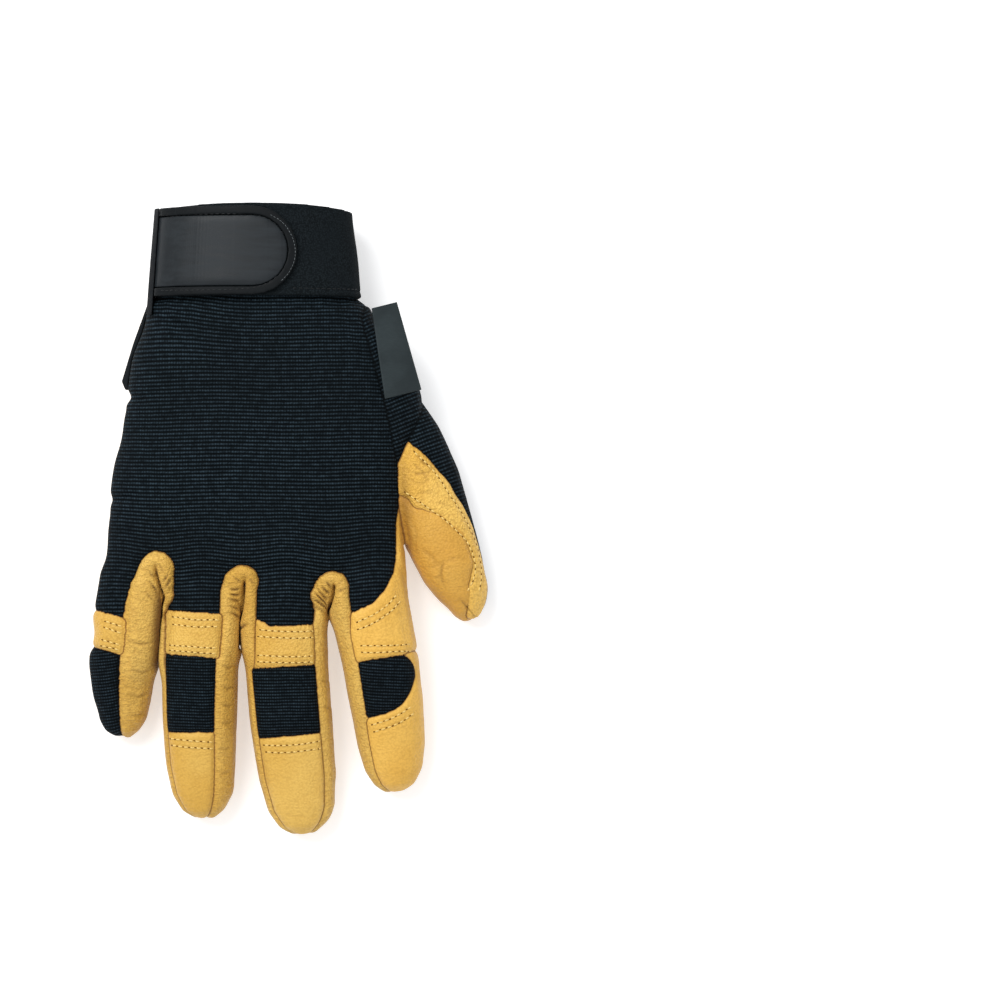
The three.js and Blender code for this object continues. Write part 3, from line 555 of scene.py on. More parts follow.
# %% [markdown]
# Rows of stitches
#
# The bands, the caps and the thumb's patch are topstitched with pale thread, mostly in two rows. The
# rows are written once, as lines over the picture, and used twice: here they press a valley into the
# leather, and later the threads are laid in them.

# %% Where the rows of stitches run
GOLD_ROWS = [
    (105, 621, 113, 623.5, 123, 627), (104, 627.5, 112, 630, 122, 633.5), (102, 640, 110, 642, 121, 645),
    (101, 645.5, 109, 647.5, 120, 650), (173, 617, 196, 620, 220, 620),
    (173, 624.5, 196, 627, 219, 626.5), (170, 645, 194, 647, 217, 648),
    (170, 650, 193, 652.5, 217, 653.5), (260, 629.5, 284, 632, 314, 631),
    (258, 636, 284, 638.5, 314, 637.5), (258, 655, 284, 657, 314, 656), (258, 661.5, 284, 663, 314, 662),
    (357, 622, 372, 616, 388, 605, 397, 594), (358, 629.5, 374, 623, 391, 612, 401, 600),
    (361, 645.5, 378, 646, 398, 645, 411, 644), (362, 652.5, 378, 652.5, 398, 651.5, 412, 651),
    (170, 738.5, 190, 741, 214, 742), (172, 745, 190, 748, 214, 748.5), (264, 745, 290, 746, 321, 741),
    (266, 752, 290, 753, 322, 748), (372, 725, 388, 720, 402, 713, 412, 706),
    (374, 732, 390, 727, 405, 720, 415, 712),
    (414, 452, 432, 468, 448, 492, 462, 513, 473, 534, 480, 556, 482, 575, 479, 592),
    (405, 492, 412, 497, 427, 507, 444, 519, 456, 530, 467, 541, 473, 554, 476, 567, 474, 579, 467, 592),
]
for row in GOLD_ROWS:
    fold(row, wide=0.75, deep=0.17, lip=0.2)
print("rows of pale stitches:", len(GOLD_ROWS))

# %% Seams sink, leather stands proud, knit bulges between them
# The thumb's patch lies on top of the strip, so that one seam is only a soft step.
PATCH_EDGE = [
    402, 489, 412, 494, 428, 504, 446, 516, 459, 528, 470, 540, 477, 553, 480, 567, 478, 582, 471, 600,
]
INSERTS = ["ring_insert", "middle_insert", "index_insert", "little_tip"]


def on_any(nodes):
    return np.isin(panel_of, [PANELS.index(node) for node in nodes])


def bell(far, wide):
    return np.exp(-((far / wide) ** 2))


on_thumb = on_any(["thumb_strip", "thumb_palm"])
which, far, _ = along(PATCH_EDGE, 14)
soft_step = np.zeros(len(place))
soft_step[which] = bell(far, 2.2) * on_thumb[which] * upward[which]
leathery = on_any(LEATHER)
# A seam is a narrow groove in a wider valley. All of these are heights and widths in mm.
relief -= (0.4 * bell(seam_mm, 0.95) + 0.32 * bell(seam_mm, 2.2)) * (1 - 0.75 * soft_step)
seam_shade = seam_mm + 0.35 * soft_step
# Painted shade: the leather is a little browner where it turns down at the sides.
painted_shade = np.maximum(painted_shade, 0.3 * (1 - ramp(normal[:, 2], 0.05, 0.6)))
relief += np.where(leathery, 0.22, -0.08) * ramp(seam_mm, 0.1, 1.4)
relief += np.where(on_any(INSERTS), 0.35, 0.0) * ramp(seam_mm, 0.4, 4.5)
# The cuff's seam draws the hand in, and the hand swells just below it.
to_cuff = (SEAM_Y - place[:, 1]) / MM
relief -= 0.7 * bell(np.maximum(to_cuff, 0), 1.6) * (to_cuff > -1)
relief += 0.5 * bell(to_cuff - 5, 3)
# Gathers where the elastic cuff pulls the hand in
turn = np.arctan2(place[:, 2] - 20 * MM, place[:, 0] - np.median(place[to_cuff < 2, 0]))
gathers = np.sin(23 * turn + 1.3 * np.sin(3 * turn)) + 0.6 * np.sin(41 * turn + 2)
relief += 0.2 * gathers * np.exp(-np.maximum(to_cuff, 0) / 6)
# Slow waves that leave no stretch of cloth or leather quite flat
x, y, z = (place / MM).T
waves = np.sin(x / 7.3 + 1.7 * np.sin(y / 17)) * np.sin(y / 9.1 + 0.8 * np.sin(x / 13 + z / 11))
waves += 0.5 * np.sin(x / 3.9 + y / 5.3 + 2) * np.sin(y / 4.7 - z / 6.1)
relief += waves * np.where(leathery, 0.14, 0.16) * ramp(seam_mm, 0, 3)
shaped = place + normal * (relief * MM)[:, None]
shaped[:, 2] = np.maximum(shaped[:, 2], 0.15 * MM)
print("relief from", round(relief.min(), 2), "to", round(relief.max(), 2), "mm")

# %% Directions of the knit
# rib counts millimetres across the ribs and wale along them, and both bend with the cloth.
across, down = picture.T
slope_at_cuff = 3.2 * (1 - ramp(x, -52, -14)) * ramp(y, 52, 84)
over_knuckles = 0.8 * np.cos(2 * np.pi * (across - 201) / 88) * bell(down - 560, 42)
rib = y - slope_at_cuff - over_knuckles + 0.25 * np.sin(x / 9 + y / 31)
wale = x + 0.4 * np.sin(y / 12)
for node, angle in (("thumb_gusset", 24), ("thumb_back", 21), ("little_tip", 6), ("index_insert", -3)):
    own = panel_of == PANELS.index(node)
    c, s = math.cos(math.radians(angle)), math.sin(math.radians(angle))
    rib[own] = (y * c - x * s)[own]
    wale[own] = (x * c + y * s)[own]

# %% Make the panels
WALL = 1.3 * MM
pieces = {}
for i, node in enumerate(PANELS):
    own = panel_of == i
    faces = cuts[node][1]
    o = new_object(node + "_sewn", shaped[own], faces.tolist())
    in_cuff = shaped[own][faces][:, :, 1].mean(axis=1) > SEAM_Y + 0.6 * MM
    o.data.polygons.foreach_set("material_index", in_cuff.astype(np.int32))
    for name, values in (("seam", seam_shade), ("painted_shade", painted_shade), ("rib", rib), ("wale", wale)):
        stored_values = o.data.attributes.new(name, "FLOAT", "POINT").data
        stored_values.foreach_set("value", values[own].astype(np.float32))
    apply_modifier(o, "SOLIDIFY", thickness=WALL, offset=-1.0, use_rim=True, use_rim_only=True)
    pick(o)
    bpy.ops.object.shade_smooth_by_angle(angle=math.radians(55))
    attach(o, "root")
    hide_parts(node)
    pieces[node] = o
print("sewn panels:", len(pieces))

# %% [markdown]
# The lining
#
# Inside the glove the walls show their other side. The melted form's inner shell is already there, so
# it becomes the lining. Nobody sees it closely, so it is thinned out to an eighth of its triangles.

# %% Lining
liner.name = "lining"
apply_modifier(liner, "DECIMATE", ratio=0.12)
liner.data.shade_smooth()
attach(liner, "root")
print("lining:", len(liner.data.polygons), "triangles")

# %% [markdown]
# The cuff and what is sewn to it
#
# The cuff is a stiff elastic tube with rounded edges, and the strap, its binding and its hem lie on it.
# The CAD has them as facets round an oval. Each is copied, melted into fine voxels and smoothed, which
# rounds its edges, and then every point moves out from the facets to the true oval behind them. The
# oval is a squircle: a circle whose sides are pushed out a little by a power above 2.

# %% The cuff's oval, and the facets that the CAD has instead
FACETS = 24
SQUARENESS = 2.2
cuff = merged_copy("cuff_band", "cuff_sewn")
ring = read(cuff.data.vertices, "co")
middle_x, middle_z = (cuff_low.x + cuff_high.x) / 2, (cuff_low.z + cuff_high.z) / 2
off_middle = np.abs(ring[:, 0] - middle_x)
half_seam = off_middle[ring[:, 1] < cuff_low.y + 0.5 * MM].max()
half_rim = off_middle[ring[:, 1] > cuff_low.y + 25 * MM].max()
half_up = (cuff_high.z - cuff_low.z) / 2
cuff_length = cuff_high.y - cuff_low.y
print("cuff half widths in mm:", round(half_seam / MM, 1), round(half_rim / MM, 1))


def oval(turn):
    way = np.stack([np.cos(turn), np.sin(turn)], axis=1)
    return np.sign(way) * np.abs(way) ** (2 / SQUARENESS)


def reach_by_angle(points):
    angle = np.arctan2(points[:, 1], points[:, 0])
    order = np.argsort(angle)
    return angle[order], np.linalg.norm(points, axis=1)[order]


facet_ends = oval(np.arange(FACETS + 1) / FACETS * 2 * math.pi)
shares = np.linspace(0, 1, 60, endpoint=False)[None, :, None]
facet_points = (facet_ends[:-1, None] * (1 - shares) + facet_ends[1:, None] * shares).reshape(-1, 2)
on_facets = reach_by_angle(facet_points)
on_oval = reach_by_angle(oval(np.linspace(0, 2 * math.pi, 3000, endpoint=False)))
print("the oval's points:", len(on_oval[0]), "and the facets':", len(on_facets[0]))

# %% Round out the facets


def round_out(co):
    """Points that lay on the faceted cuff, moved out to the oval."""
    share = np.clip((co[:, 1] - cuff_low.y) / (cuff_length * 0.94), 0, 1)
    half = half_seam + (half_rim - half_seam) * share
    across, up = (co[:, 0] - middle_x) / half, (co[:, 2] - middle_z) / half_up
    angle = np.arctan2(up, across)
    more, less = (np.interp(angle, *edge, period=2 * math.pi) for edge in (on_oval, on_facets))
    more /= less
    co = co.copy()
    co[:, 0] = middle_x + across * more * half
    co[:, 2] = middle_z + up * more * half_up
    return co


def soften(o, voxel, rounds, rounded=True):
    """Melts an object into voxels, moves them out to the oval, and smooths them, which rounds all edges."""
    apply_modifier(o, "REMESH", mode="VOXEL", voxel_size=voxel)
    if rounded:
        write(o, round_out(read(o.data.vertices, "co")))
        o.data.update()
    apply_modifier(o, "SMOOTH", factor=0.5, iterations=rounds)
    return read(o.data.vertices, "co")


def finish_piece(o, co, node):
    write(o, co)
    o.data.update()
    o.data.shade_smooth()
    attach(o, "root")
    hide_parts(node)
    pieces[node] = o
    print(o.name, len(o.data.polygons), "faces")


# %% Cuff
co = soften(cuff, 0.62 * MM, 6)
turned = np.arctan2(co[:, 2] - middle_z, co[:, 0] - middle_x)
height = (co[:, 1] - cuff_low.y) / MM
outward = np.stack([np.cos(turned), 0 * turned, np.sin(turned)], axis=1)
HEM_LINE = 2.6  # the cuff's own row of stitches, in mm above its lower edge
ripple = 0.16 * np.sin(31 * turned + 2 * np.sin(5 * turned)) * np.exp(-height / 5)
ripple += 0.22 * np.sin(2.3 * turned + height / 6) + 0.10 * np.sin(5 * turned - height / 4)
ripple -= 0.28 * bell(height - HEM_LINE, 0.7)
co += outward * (ripple * MM)[:, None]
co[:, 2] = np.maximum(co[:, 2], 0.05 * MM)
finish_piece(cuff, co, "cuff_band")

# %% Strap, its binding and its hem
# The hem's thin wedge is swollen first, so that the voxels hold it. The strap's face is smoothed most,
# and only in height, so that it stays as wide as it is and no facet shows in its shine.
HEM_SWELL = 0.22 * MM
for node, name, voxel, rounds, height_rounds in (
    ("closure_strap", "strap_face", 0.3, 5, 240),
    ("strap_binding", "strap_rolled_edge", 0.28, 8, 14),
    ("strap_hem", "strap_folded_hem", 0.18, 24, 0),
):
    o = merged_copy(node, name)
    if node == "strap_hem":
        apply_modifier(o, "DISPLACE", strength=HEM_SWELL, mid_level=0.0)
    co = soften(o, voxel * MM, rounds)
    if height_rounds:
        apply_modifier(o, "SMOOTH", factor=0.5, iterations=height_rounds, use_x=False, use_y=False)
        co = read(o.data.vertices, "co")
    finish_piece(o, co, node)

# %% [markdown]
# The side label and the pull tab
#
# The label is a bare piece of satin tape, sewn into the seam along its left edge and free at the other.
# A tape like that never lies quite flat, so it curls along its free edge. The pull tab is a strip of
# the strap's material, folded once, that stands out of the other side.

# %% Label and pull tab
label = merged_copy("side_label", "side_tape")
co = soften(label, 0.25 * MM, 3, rounded=False)
low, high = co.min(axis=0), co.max(axis=0)
run = (co[:, 1] - low[1]) / (high[1] - low[1])
out = (co[:, 0] - low[0]) / (high[0] - low[0])
co[:, 2] += (0.35 * np.sin(math.pi * run) * out + 0.25 * np.sin(5 * run + 4 * out)) * MM
# The CAD's tape is flat. The real one is soft, so it follows the side of the hand and its free edge
# hangs. How clear it is of the hand is measured at nine stops along its sewn edge.
MOST_CLEAR, KEPT_CLEAR, MOST_LOWERED, HANG = 3.4 * MM, 0.7 * MM, 3.0 * MM, 3.0 * MM
hand_below = trees_of([pieces["back_panel"], pieces["thumb_gusset"]])
stops = np.linspace(0, 1, 9)
clear = [0.0]
for stop in stops:
    here = np.abs(run - stop) < 0.07
    edge = co[here & (out < np.quantile(out[here], 0.25))]
    inner = Vector(edge.mean(axis=0)) + Vector((0.5 * MM, 0, 12 * MM))  # high above the hand
    hits = [tree.ray_cast(inner, Vector((0, 0, -1)))[0] for tree in hand_below]
    heights = [h.z for h in hits if h is not None]
    clear.append(min(edge[:, 2].min() - max(heights), MOST_CLEAR) if heights else clear[-1])
print("the tape is clear of the hand by, in mm:", [round(c / MM, 1) for c in clear[1:]])
lowered = np.clip(np.interp(run, stops, clear[1:]) - KEPT_CLEAR, 0, MOST_LOWERED)
co[:, 2] -= lowered + HANG * out**2
finish_piece(label, co, "side_label")
tab = merged_copy("pull_tab", "side_pull_tab")
co = soften(tab, 0.35 * MM, 6, rounded=False)
height = (co[:, 2] - co[:, 2].mean()) / MM
low, high = co.min(axis=0), co.max(axis=0)
outer_half = co[:, 0] < np.interp(co[:, 1], [low[1], high[1]], [low[0], high[0]])
co[:, 0] += 0.5 * bell(height, 0.5) * MM * outer_half  # the groove between the tab's two layers
finish_piece(tab, co, "pull_tab")

# %% [markdown]
# Laying the stitches
#
# A stitch is a short round thread that dips into a hole at each end. One is modelled from a sphere, long
# and bowed, with few faces because it is repeated hundreds of times. Each place in a row is found by
# looking down from the camera through the picture and seeing where that ray meets the leather. The
# copies are joined into one piece per thread colour, and the dark patches that paint the shade in the
# holes into one more.

# %% One stitch
bpy.ops.object.select_all(action="DESELECT")
bpy.ops.mesh.primitive_uv_sphere_add(segments=8, ring_count=6, radius=1, rotation=(0, math.pi / 2, 0))
stitch = bpy.context.object
bpy.ops.object.transform_apply(location=True, rotation=True, scale=True)
stitch_shape = read(stitch.data.vertices, "co")
long, wide, tall = np.split(stitch_shape, 3, axis=1)
stitch_faces = [list(p.vertices) for p in stitch.data.polygons]
bpy.data.objects.remove(stitch)
surfaces = trees_of(pieces.values())
print("one stitch:", len(stitch_shape), "points,", len(stitch_faces), "faces")

# %% From a row in the picture to the glove's surface


def surface_below(px, py):
    """Where the ray from the camera through a place in the picture meets the glove, and its normal."""
    scale = PIXEL / (EYE.z - HALF_HEIGHT)
    down = Vector(((px - PIXELS / 2) * scale, (PIXELS / 2 - py) * scale, -1.0)).normalized()
    best = None
    for tree in surfaces:
        spot, normal_there, _, distance = tree.ray_cast(EYE, down)
        if spot is not None and (best is None or distance < best[2]):
            best = (spot, normal_there, distance)
    return best


def run_of(points):
    """How far each point of a path is along it."""
    return np.concatenate([[0], np.cumsum(np.linalg.norm(np.diff(points, axis=0), axis=1))])


def at_run(values, run, at):
    return np.array([np.interp(at, run, column) for column in values.T])


def along_surface(row, step=0.6):
    """Close points on the glove along a row drawn over the picture, smoothed into a curve."""
    row = pixels(row)
    if len(row) > 2:
        for _ in range(3):
            cut = np.stack([0.75 * row[:-1] + 0.25 * row[1:], 0.25 * row[:-1] + 0.75 * row[1:]], 1)
            row = np.concatenate([row[:1], cut.reshape(-1, 2), row[-1:]])
    run = run_of(row)
    found = [surface_below(*at_run(row, run, stop)) for stop in np.arange(0, run[-1], step)]
    found = [f for f in found if f is not None]
    return np.array([f[0] for f in found]), np.array([f[1] for f in found])


# %% Stitches laid along rows


def many_of_one(name, shapes_here):
    """One piece of many small shapes, each the stitch's points moved to their place."""
    size = len(stitch_shape)
    faces = [[v + i * size for v in face] for i in range(len(shapes_here)) for face in stitch_faces]
    o = new_object(name, np.concatenate(shapes_here), faces)
    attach(o, "root")
    print(name, len(shapes_here), "copies,", len(faces), "faces")
    return o


def lay_stitches(name, rows, pitch, thread, length=0.74, sink=0.25, bow=0.35):
    """Threads along the rows: pitch and thread (its radius) in mm, length as a share of pitch."""
    threads, hole_places = [], []
    for row in rows:
        spots, normals = along_surface(row)
        run = run_of(spots)
        count = max(1, int(run[-1] / (pitch * MM)))
        for k in range(count):
            at = (k + 0.5) * run[-1] / count
            half = pitch * length * MM / 2
            place, up = at_run(spots, run, at), at_run(normals, run, at)
            up /= np.linalg.norm(up)
            way = at_run(spots, run, at + half) - at_run(spots, run, at - half)
            way -= up * (way @ up)
            way /= np.linalg.norm(way)
            side = np.cross(up, way)
            lean = 0.12 * math.sin(7.3 * k + 3 * row[0])  # no two stitches point quite the same way
            c, s = math.cos(lean), math.sin(lean)
            way, side = way * c + side * s, side * c - way * s
            r = thread * MM
            arch = (1 - long**2) * bow * r
            rise = tall * r * 0.9 + arch - sink * r
            threads.append(place + way * long * half + side * wide * r + up * rise)
            hole_places.append((place - way * pitch * MM / 2, way, side, up))
    return many_of_one(name, threads), hole_places


gold_stitches, holes = lay_stitches("gold_stitches", GOLD_ROWS, 2.35, 0.32, length=0.7)

# %% Painted shade in the needle's holes between the stitches
HALF_LONG, HALF_WIDE, HALF_TALL, LIFT = 0.46 * MM, 0.27 * MM, 0.12 * MM, 0.02 * MM
pits = [
    place + way * long * HALF_LONG + side * wide * HALF_WIDE + up * (tall * HALF_TALL + LIFT)
    for place, way, side, up in holes
]
hole_shade_patches = many_of_one("hole_shade_patches", pits)

# %% Dark rows on the strap and the cuff
DARK_ROWS = [
    (166, 217.5, 200, 214, 240, 213.5, 262, 215.5, 277, 224, 286, 238, 288.5, 252, 285, 266, 275,
     279, 260, 287, 235, 289.5, 200, 290, 160, 290.5),
    (292, 288, 326, 288.5, 357, 289.5),
]
dark_stitches, _ = lay_stitches("dark_stitches", DARK_ROWS, 2.2, 0.2)
# Short pale hairs of the fastener show all along the strap's round end.
HAIRS = [(270, 214.5, 282, 221, 291, 233, 295.5, 247, 295, 260, 289, 273, 281, 281)]
pale_hairs, _ = lay_stitches("pale_hairs", HAIRS, 1.3, 0.1, length=0.8, bow=1.2)

# %% [markdown]
# Finishes
#
# Every finish is built from nodes. Colours are written as they look on a screen and turned into the
# linear values that Blender mixes. Patterns read Object coordinates, which are metres here, or the
# numbers stored on the skin: seam (distance to the nearest seam), the painted shade of the folds, slits
# and down-turned sides, rib and wale (the directions of the knit). What is the same all over a surface
# is set on the shader's own socket.
# Each finish needs the same few steps, so a small class holds them.

# %% A finish, node by node


def screen(*colour):
    """A colour's red, green and blue on a screen, from 0 to 255, as the values that Blender mixes."""
    shares = [v / 255 for v in colour]
    return (*[v / 12.92 if v <= 0.04045 else ((v + 0.055) / 1.055) ** 2.4 for v in shares], 1)


class Finish:
    """A material under construction. Each value may be a number, a colour or a node's output."""

    def __init__(self, name, **sockets):
        self.material = bpy.data.materials.new(name)
        self.material.use_nodes = True
        self.tree = self.material.node_tree
        self.shader = self.tree.nodes["Principled BSDF"]
        self.where = self.add("TexCoord").outputs["Object"]
        self.set(**sockets)

    def put(self, socket, value):
        if isinstance(value, bpy.types.NodeSocket):
            self.tree.links.new(value, socket)
        else:
            socket.default_value = value

    def set(self, **sockets):
        for name, value in sockets.items():
            self.put(self.shader.inputs[name.replace("_", " ")], value)

    def add(self, kind, inputs=None, **settings):
        made = self.tree.nodes.new("ShaderNode" + kind)
        for name, value in settings.items():
            setattr(made, name, value)
        for name, value in (inputs or {}).items():
            self.put(made.inputs[name], value)
        return made

    def maths(self, operation, *values):
        return self.add("Math", dict(enumerate(values)), operation=operation).outputs[0]

    def ranged(self, value, low, high, to_low=0.0, to_high=1.0):
        """A value from low to high, turned softly into one from to_low to to_high."""
        inputs = {"Value": value, "From Min": low, "From Max": high, "To Min": to_low, "To Max": to_high}
        return self.add("MapRange", inputs, interpolation_type="SMOOTHSTEP").outputs[0]

    def mixed(self, share, first, second):
        return self.add("Mix", {0: share, 6: first, 7: second}, data_type="RGBA").outputs[2]

    def layered(self, colour, *layers):
        """A colour with others laid over it, each given as how much of it shows and what it is."""
        for share, over in layers:
            colour = self.mixed(share, colour, screen(*over))
        return colour

    def stored(self, name):
        return self.add("Attribute", attribute_name=name).outputs["Fac"]

    def stretched(self, *scale, turn=0.0):
        inputs = {"Vector": self.where, "Rotation": (0, 0, turn), "Scale": scale}
        return self.add("Mapping", inputs).outputs[0]

    def noise(self, scale, detail=2.0, rough=0.5, vector=None, output="Fac", **more):
        """Noise with so many patterns to a metre, or to a unit of another vector."""
        vector = self.where if vector is None else vector
        inputs = {"Vector": vector, "Scale": scale, "Detail": detail, "Roughness": rough, **more}
        return self.add("TexNoise", inputs).outputs[output]

    def done(self, colour, *bumps):
        """The material, once its colour and its bumps (height, strength, depth in mm) are joined."""
        self.set(Base_Color=colour)
        last = {}
        for height, strength, depth in bumps:
            inputs = {"Height": height, "Strength": strength, "Distance": depth * MM, **last}
            last = {"Normal": self.add("Bump", inputs).outputs["Normal"]}
        self.set(**last)
        print("finish:", self.material.name, "with", len(self.tree.nodes), "nodes")
        return self.material


# %% [markdown]
# Gold leather
#
# Tanned goatskin or cowhide has a pebbled grain of cells a little under a millimetre, fine wrinkles
# across the bends, and a colour that varies at random. Painted shade makes it browner in the folds and
# fine wrinkles, in the slits, along the seams and where it turns down at the sides. The grain is a
# Voronoi pattern with softened edges, the wrinkles are noise that is stretched sideways, and the colour
# follows slow noise and the stored painted shade of the folds.

# %% Gold leather
GRAIN_BEND = 0.6 * MM  # how far slow noise pushes the grain's cells about


def gold_leather(name, grain, wrinkles, tone=1.0, warm=0.0):
    made = Finish("gold_leather_" + name, Specular_IOR_Level=0.3, Sheen_Weight=0.05, Sheen_Roughness=0.5)
    warp = made.noise(260.0, output="Color")
    shift = made.add("VectorMath", {0: warp, 1: (GRAIN_BEND,) * 3}, operation="MULTIPLY").outputs[0]
    bent = made.add("VectorMath", {0: made.where, 1: shift}, operation="ADD").outputs[0]
    cells = made.add("TexVoronoi", {"Vector": bent, "Scale": 1150.0, "Smoothness": 0.6}, feature="SMOOTH_F1")
    cells = cells.outputs["Distance"]
    creases = made.noise(1.0, 4.0, 0.6, made.stretched(300.0, 1250.0, 520.0), Distortion=0.6)
    smooth_parts = made.ranged(creases, 0.40, 0.56)
    lines = made.maths("SUBTRACT", 1.0, smooth_parts)
    mottle = made.noise(210.0, 5.0, 0.65)
    pale = screen(222 * tone, (180 - 12 * warm) * tone, (88 - 18 * warm) * tone)
    rich = screen(208 * tone, (161 - 12 * warm) * tone, (66 - 14 * warm) * tone)
    colour = made.layered(
        made.mixed(made.ranged(made.noise(30.0), 0.3, 0.7), rich, pale),
        (made.ranged(mottle, 0.42, 0.7, 0.0, 0.14), (196, 148, 60)),
        (made.ranged(cells, 0.35, 0.75, 0.0, 0.26 * grain), (158, 108, 34)),
        # Painted shade in the fine wrinkles
        (made.maths("MULTIPLY", lines, 0.16 * wrinkles), (160, 112, 42)),
        # Painted shade along the seams, where the panels meet in a groove
        (made.ranged(made.stored("seam"), 0.05, 0.5, 0.85, 0.0), (118, 72, 22)),
        # Painted shade in the folds, the slits, the stitch valleys and on the sides that turn down
        (made.maths("MULTIPLY", made.maths("POWER", made.stored("painted_shade"), 1.5), 0.93), (86, 48, 12)),
    )
    made.set(Roughness=made.ranged(mottle, 0.3, 0.7, 0.46, 0.62))
    return made.done(
        colour,
        (smooth_parts, 0.55 * wrinkles, 0.30),
        (mottle, 0.35 * grain, 0.25),
        (made.maths("SUBTRACT", 1.0, cells), 0.8 * grain, 0.42),
        (made.noise(2600.0, 3.0), 0.25, 0.08),
    )


leathers = {  # by how a node's name starts or ends, the first that fits
    "fourchette": gold_leather("finger_sides", grain=0.9, wrinkles=1.0),
    "index": gold_leather("index", grain=0.7, wrinkles=0.4, tone=1.05, warm=0.3),
    "band": gold_leather("bands", grain=1.0, wrinkles=0.25),
    "cap": gold_leather("caps", grain=0.7, wrinkles=0.3),
    "thumb_strip": gold_leather("thumb_strip", grain=1.2, wrinkles=0.6, tone=1.07),
    # The thumb patch's lower tone is partly painted shade, where the thumb slopes away, and partly its own
    # more orange leather
    "thumb_palm": gold_leather("thumb_patch", grain=0.8, wrinkles=0.5, tone=0.97, warm=0.8),
    "palm_panel": gold_leather("palm", grain=0.8, wrinkles=0.5),
}
for node in LEATHER:
    which = next(part for part in leathers if node.startswith(part) or node.endswith(part))
    pieces[node].data.materials.append(leathers[which])

# %% [markdown]
# Ribbed knit
#
# The back is a stretch knit: strong ribs every 1.5 mm across the hand, and fine columns of loops every
# 1.1 mm along them, in near-black thread. Sines of the stored rib and wale make both. They shift the
# colour as well as the height: painted light on each crest and painted shade in each valley.

# %% Ribbed knit


def ribbed_knit(name, rib_pitch, wale_pitch, wale_strength):
    made = Finish("ribbed_knit_" + name, Specular_IOR_Level=0.04, Roughness=0.78)
    wobble = made.maths("MULTIPLY", made.maths("SUBTRACT", made.noise(130.0), 0.5), 0.4)

    def wave(direction, pitch):
        """0 in the valleys and 1 on the crests."""
        turns = made.maths("MULTIPLY", made.maths("ADD", made.stored(direction), wobble), 2 * math.pi / pitch)
        return made.maths("MULTIPLY_ADD", made.maths("SINE", turns), 0.5, 0.5)

    rib_high, wale_high = wave("rib", rib_pitch), wave("wale", wale_pitch)
    fuzz = made.noise(1500.0, 3.0, 0.7)
    crest = made.maths("POWER", rib_high, 1.8)
    for share in (
        made.maths("MULTIPLY_ADD", wale_high, wale_strength, 1.0 - wale_strength),
        made.ranged(fuzz, 0.3, 0.7, 0.35, 1.45),
        made.ranged(made.noise(420.0), 0.3, 0.7, 0.55, 1.25),
    ):
        crest = made.maths("MULTIPLY", crest, share)
    # Painted light on the rib crests and painted shade in the valleys between them
    colour = made.layered(
        made.mixed(crest, screen(4, 7, 9), screen(47, 61, 70)),
        (made.ranged(made.noise(28.0, 3.0), 0.35, 0.65, 0.0, 0.25), (9, 12, 14)),
        # Painted shade along the seams
        (made.ranged(made.stored("seam"), 0.0, 1.0, 0.8, 0.0), (6, 8, 9)),
    )
    height = made.maths("MULTIPLY_ADD", wale_high, 0.25, rib_high)
    return made.done(colour, (height, 0.9, 0.30), (fuzz, 0.35, 0.12))


hand_knit = ribbed_knit("hand", 1.47, 1.10, 0.6)
insert_knit = ribbed_knit("inserts", 1.22, 0.98, 0.75)
for node in KNIT:
    pieces[node].data.materials.append(insert_knit if node in INSERTS else hand_knit)

# %% [markdown]
# Elastic, smooth black, satin tape and threads
#
# The cuff is a tight elastic web with tiny loops. The strap is a smooth synthetic leather that shows a
# soft, blurred sky in its surface. The label is satin tape, woven so finely that only a faint line
# shows. The thread is twisted, so slanted stripes run round it.

# %% Elastic of the cuff
web = Finish("elastic_web", Specular_IOR_Level=0.04, Roughness=0.88)
loops = web.add("TexVoronoi", {"Vector": web.where, "Scale": 1700.0}, feature="F1").outputs["Distance"]
lanes = web.noise(1.0, 3.0, vector=web.stretched(1200.0, 140.0, 1200.0))
colour = web.layered(
    web.mixed(web.ranged(loops, 0.1, 0.7), screen(29, 35, 38), screen(15, 19, 21)),
    (web.ranged(web.noise(120.0, 4.0), 0.4, 0.7, 0.0, 0.4), (21, 26, 29)),
)
pieces["cuff_band"].data.materials.append(web.done(colour, (loops, 0.5, 0.2), (lanes, 0.4, 0.12)))

# %% Smooth black of the strap


def smooth_black(node, name, shade, rough, scratch, shine=0.1):
    made = Finish("smooth_black_" + name, Specular_IOR_Level=shine)
    rubbed = made.noise(1.0, 5.0, 0.65, made.stretched(60.0, 420.0, 200.0))
    worn_shade = [v * 1.22 for v in shade]
    colour = made.mixed(made.ranged(rubbed, 0.35, 0.7), screen(*shade), screen(*worn_shade))
    made.set(Roughness=made.ranged(rubbed, 0.3, 0.7, rough, rough + 0.14))
    pores = made.noise(1900.0, 3.0)
    pieces[node].data.materials.append(made.done(colour, (pores, 0.3, 0.05), (rubbed, scratch, 0.25)))


smooth_black("closure_strap", "face", (27, 31, 34), 0.4, 0.1, shine=0.19)
smooth_black("strap_binding", "binding", (13, 16, 18), 0.5, 0.25)
smooth_black("strap_hem", "hem", (12, 15, 18), 0.5, 0.3)
smooth_black("pull_tab", "tab", (16, 20, 23), 0.48, 0.3)

# %% Satin tape of the label
satin = Finish("satin_tape", Specular_IOR_Level=0.14, Anisotropic=0.35, Roughness=0.55)
weave = satin.noise(1.0, vector=satin.stretched(500.0, 4200.0, 500.0, turn=0.28))
colour = satin.layered(
    satin.mixed(satin.ranged(satin.noise(90.0, 3.0), 0.3, 0.7), screen(39, 46, 48), screen(47, 55, 57)),
    (satin.ranged(weave, 0.3, 0.7, 0.0, 0.3), (33, 40, 42)),
)
pieces["side_label"].data.materials.append(satin.done(colour, (weave, 0.35, 0.06)))

# %% Threads, holes and lining


